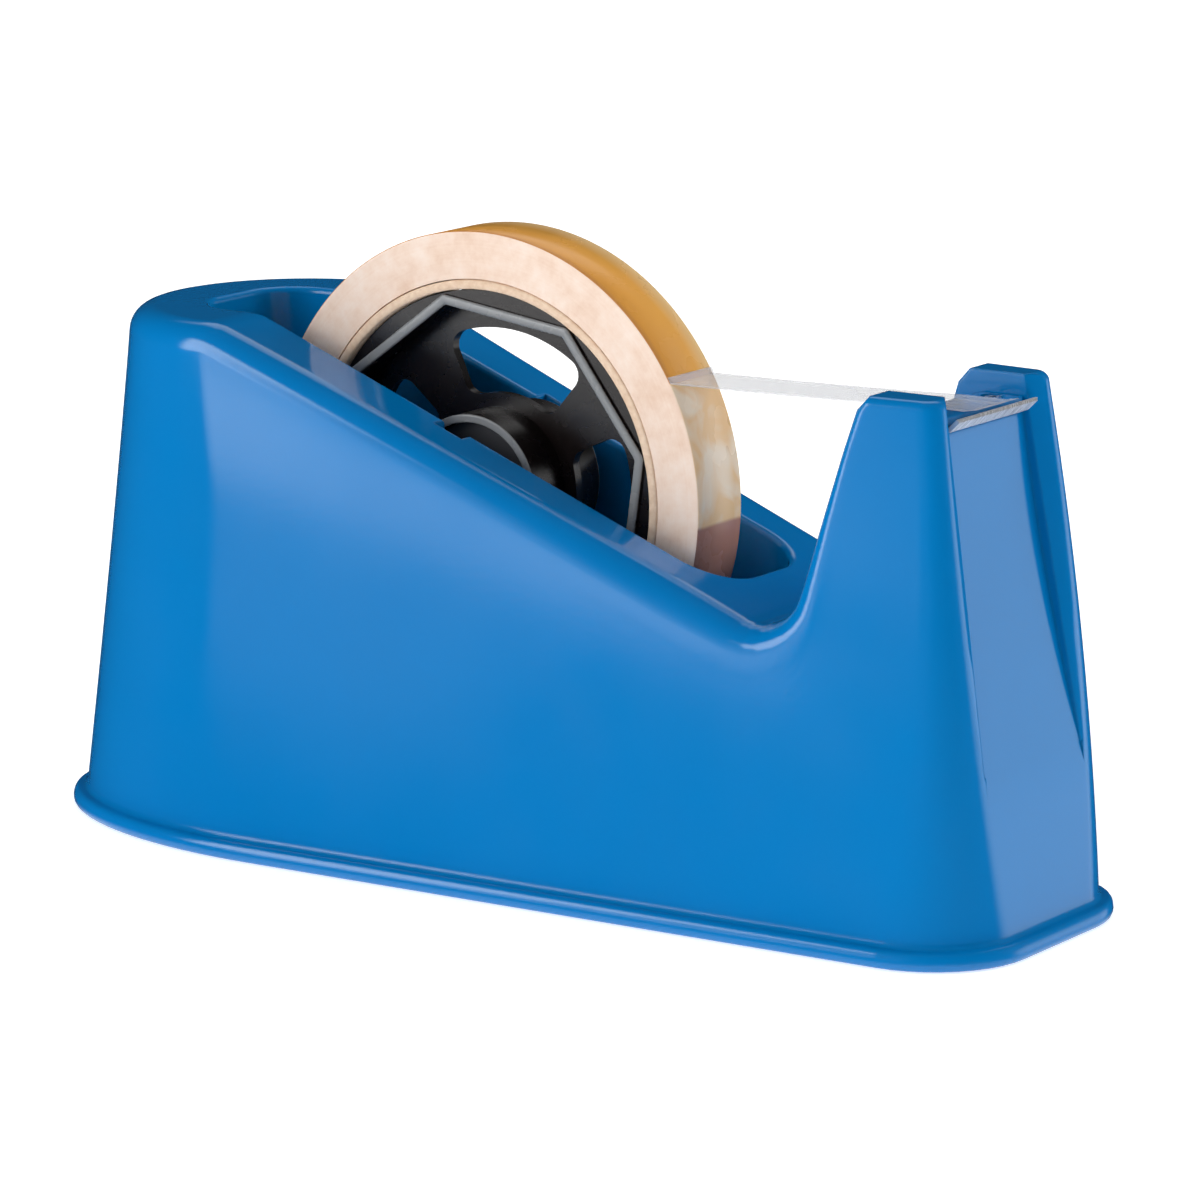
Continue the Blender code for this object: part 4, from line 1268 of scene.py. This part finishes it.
def world():
    """Two large soft lights in a plain white room; glossy rays see a dark room."""
    made = bpy.data.worlds.new("studio")
    bpy.context.scene.world = made
    made.cycles.sampling_method = "NONE"
    made.use_nodes = True
    made.node_tree.nodes.clear()
    stage = Stage(made.node_tree)
    nodes, links = stage.nodes, stage.links
    direction = nodes.new("ShaderNodeTexCoord").outputs["Generated"]
    split = nodes.new("ShaderNodeSeparateXYZ")
    links.new(direction, split.inputs["Vector"])
    rise = stage.number("DEGREES", stage.number("ARCSINE", split.outputs["Z"]))

    def towards(way):
        dot = nodes.new("ShaderNodeVectorMath")
        dot.operation = "DOT_PRODUCT"
        links.new(direction, dot.inputs[0])
        dot.inputs[1].default_value = Vector(way).normalized()
        return stage.number("MAXIMUM", dot.outputs["Value"], 0.0)

    def patch(bearing, height, level):
        """A panel between soft limits of bearing from +Y towards +X, and of height, in degrees."""
        turn = stage.number("DEGREES", stage.number("ARCTAN2", split.outputs["X"], split.outputs["Y"]))
        return stage.product(
            level, stage.step(turn, *bearing[0]), stage.step(turn, *bearing[1]),
            stage.step(rise, *height[0]), stage.step(rise, *height[1]),
        )

    def background(strength):
        node = nodes.new("ShaderNodeBackground")
        if isinstance(strength, (int, float)):
            node.inputs["Strength"].default_value = strength
        else:
            links.new(strength, node.inputs["Strength"])
        return node.outputs["Background"]

    table = stage.product(stage.step(rise, *TABLE_LIMITS), TABLE_LEVEL)
    glossy = stage.total(table, ROOM_LEVEL, *(patch(*limits) for limits in PANELS))
    soft = [
        stage.product(level, stage.number("POWER", towards(way), LIGHT_SPREAD))
        for way, level in LIGHTS
    ]
    dome = stage.total(*soft, AMBIENT)
    rays = nodes.new("ShaderNodeLightPath")
    lit = stage.choose(rays.outputs["Is Diffuse Ray"], background(ROOM_SEEN), background(dome))
    shown = stage.choose(rays.outputs["Is Glossy Ray"], lit, background(glossy))
    output = nodes.new("ShaderNodeOutputWorld")
    links.new(shown, output.inputs["Surface"])


# Far panels seen in reflections, and the two soft lights that shade the surfaces
PANELS = [
    (((8.0, 22.0), (58.0, 40.0)), ((-24.0, -7.0), (16.0, 3.0)), 1.40),
    (((-66.0, -46.0), (8.0, -10.0)), ((32.0, 42.0), (74.0, 62.0)), 1.80),
]
ROOM_LEVEL = 0.015
ROOM_SEEN = 1.25
TABLE_LIMITS = (-13.0, -28.0)
TABLE_LEVEL = 1.2
LIGHTS = [
    ((-0.44, -0.90, 0.25), 4.60),
    ((0.58, 0.81, 0.25), 5.00),
    ((0.0, 0.0, 1.0), 1.50),
]
LIGHT_SPREAD = 8.0
AMBIENT = 0.10
FLOOR_RADIUS = 3.0

# Near light card, seen only in reflections: bearing, distance, and its size
CARD_TURN = math.radians(150.0)
CARD_AT = (-0.25, -0.433, 0.0)
CARD_X = (-0.25, 0.35)
CARD_Z = (-0.16, 0.60)


def light_card():
    """A white card near the left side, brightest in a low band and at the upper right."""
    mesh = bpy.data.meshes.new("light_card")
    corners = [(x, 0.0, z) for x, z in zip((CARD_X[0], CARD_X[1], CARD_X[1], CARD_X[0]),
                                           (CARD_Z[0], CARD_Z[0], CARD_Z[1], CARD_Z[1]))]
    mesh.from_pydata(corners, [], [(0, 1, 2, 3)])
    made = new_object("light_card", mesh, CARD_AT)
    made.rotation_euler.z = CARD_TURN
    material = bpy.data.materials.new("light_card")
    material.use_nodes = True
    material.cycles.emission_sampling = "NONE"
    material.node_tree.nodes.clear()
    stage = Stage(material.node_tree)
    nodes, links = stage.nodes, stage.links
    split = nodes.new("ShaderNodeSeparateXYZ")
    links.new(nodes.new("ShaderNodeTexCoord").outputs["Object"], split.inputs["Vector"])
    across, up = split.outputs["X"], split.outputs["Z"]
    step, product = stage.step, stage.product
    band = product(
        2.1, step(up, -0.004, 0.010), step(up, 0.048, 0.030), step(across, -0.120, -0.102),
        step(across, 0.084, 0.058),
    )
    glow = product(
        1.0, step(up, 0.000, 0.024), step(up, 0.056, 0.036), step(across, -0.010, 0.020),
        step(across, 0.062, 0.040),
    )
    left = stage.total(across, up)
    right = stage.number("MULTIPLY_ADD", up, 1.6, across)
    lower = product(
        0.50, step(up, 0.010, -0.006), step(up, -0.080, -0.035), step(left, -0.072, -0.042),
        step(right, 0.072, 0.036),
    )
    edge = stage.number("MULTIPLY_ADD", up, 0.40, across)
    dim = product(
        step(up, 0.036, 0.050), stage.total(0.30, product(0.70, step(up, 0.260, 0.040))),
        step(across, -0.185, -0.105), step(up, 0.420, 0.250), step(edge, 0.050, 0.010),
    )
    high = product(
        5.0, step(up, 0.040, 0.060), step(edge, 0.000, 0.050), step(across, 0.230, 0.150),
        step(up, 0.420, 0.330),
    )
    light = nodes.new("ShaderNodeEmission")
    links.new(stage.total(band, glow, lower, dim, high), light.inputs["Strength"])
    clear = nodes.new("ShaderNodeBsdfTransparent")
    rays = nodes.new("ShaderNodeLightPath")
    shown = stage.choose(rays.outputs["Is Glossy Ray"], clear.outputs["BSDF"], light.outputs["Emission"])
    output = nodes.new("ShaderNodeOutputMaterial")
    links.new(shown, output.inputs["Surface"])
    mesh.materials.append(material)


def floor():
    """A plain pale floor under the feet, which glossy rays pass through."""
    look = Look("floor", (0.90, 0.90, 0.90), 0.7)
    look.set("Emission Color", (1.0, 1.0, 1.0, 1.0))
    look.set("Emission Strength", 0.62)
    look.material.cycles.emission_sampling = "NONE"
    look.to("Roughness", look.spread(look.noise(30.0), 0.65, 0.8))
    mesh = mesh_from("floor", lambda work: bmesh.ops.create_circle(
        work, cap_ends=True, segments=128, radius=FLOOR_RADIUS))
    made = new_object("floor", mesh)
    mesh.materials.append(look.material)
    look.set("Specular IOR Level", 0.0)
    nodes, links = look.nodes, look.links
    rays = nodes.new("ShaderNodeLightPath")
    clear = nodes.new("ShaderNodeBsdfTransparent")
    mix = nodes.new("ShaderNodeMixShader")
    links.new(rays.outputs["Is Glossy Ray"], mix.inputs["Fac"])
    links.new(look.shader.outputs["BSDF"], mix.inputs[1])
    links.new(clear.outputs["BSDF"], mix.inputs[2])
    links.new(mix.outputs["Shader"], nodes["Material Output"].inputs["Surface"])


CAMERA_TARGET = Vector((0.01013, 0.0, 0.05231))
CAMERA_DISTANCE = 1.1404
CAMERA_AZIMUTH = math.radians(34.0)
CAMERA_ELEVATION = math.radians(12.05)
SENSOR = 36.0
LENS = 180.0


def camera():
    """The camera at the photograph's angle."""
    data = bpy.data.cameras.new("camera")
    data.sensor_width = SENSOR
    data.lens = LENS
    data.clip_start = 0.05
    made = bpy.data.objects.new("camera", data)
    bpy.context.scene.collection.objects.link(made)
    back = Vector((
        math.sin(CAMERA_AZIMUTH) * math.cos(CAMERA_ELEVATION),
        -math.cos(CAMERA_AZIMUTH) * math.cos(CAMERA_ELEVATION),
        math.sin(CAMERA_ELEVATION),
    ))
    made.location = CAMERA_TARGET + back * CAMERA_DISTANCE
    made.rotation_euler = back.to_track_quat("Z", "Y").to_euler()
    bpy.context.scene.camera = made


world()
light_card()
floor()
camera()
bpy.context.scene.view_settings.view_transform = "Standard"
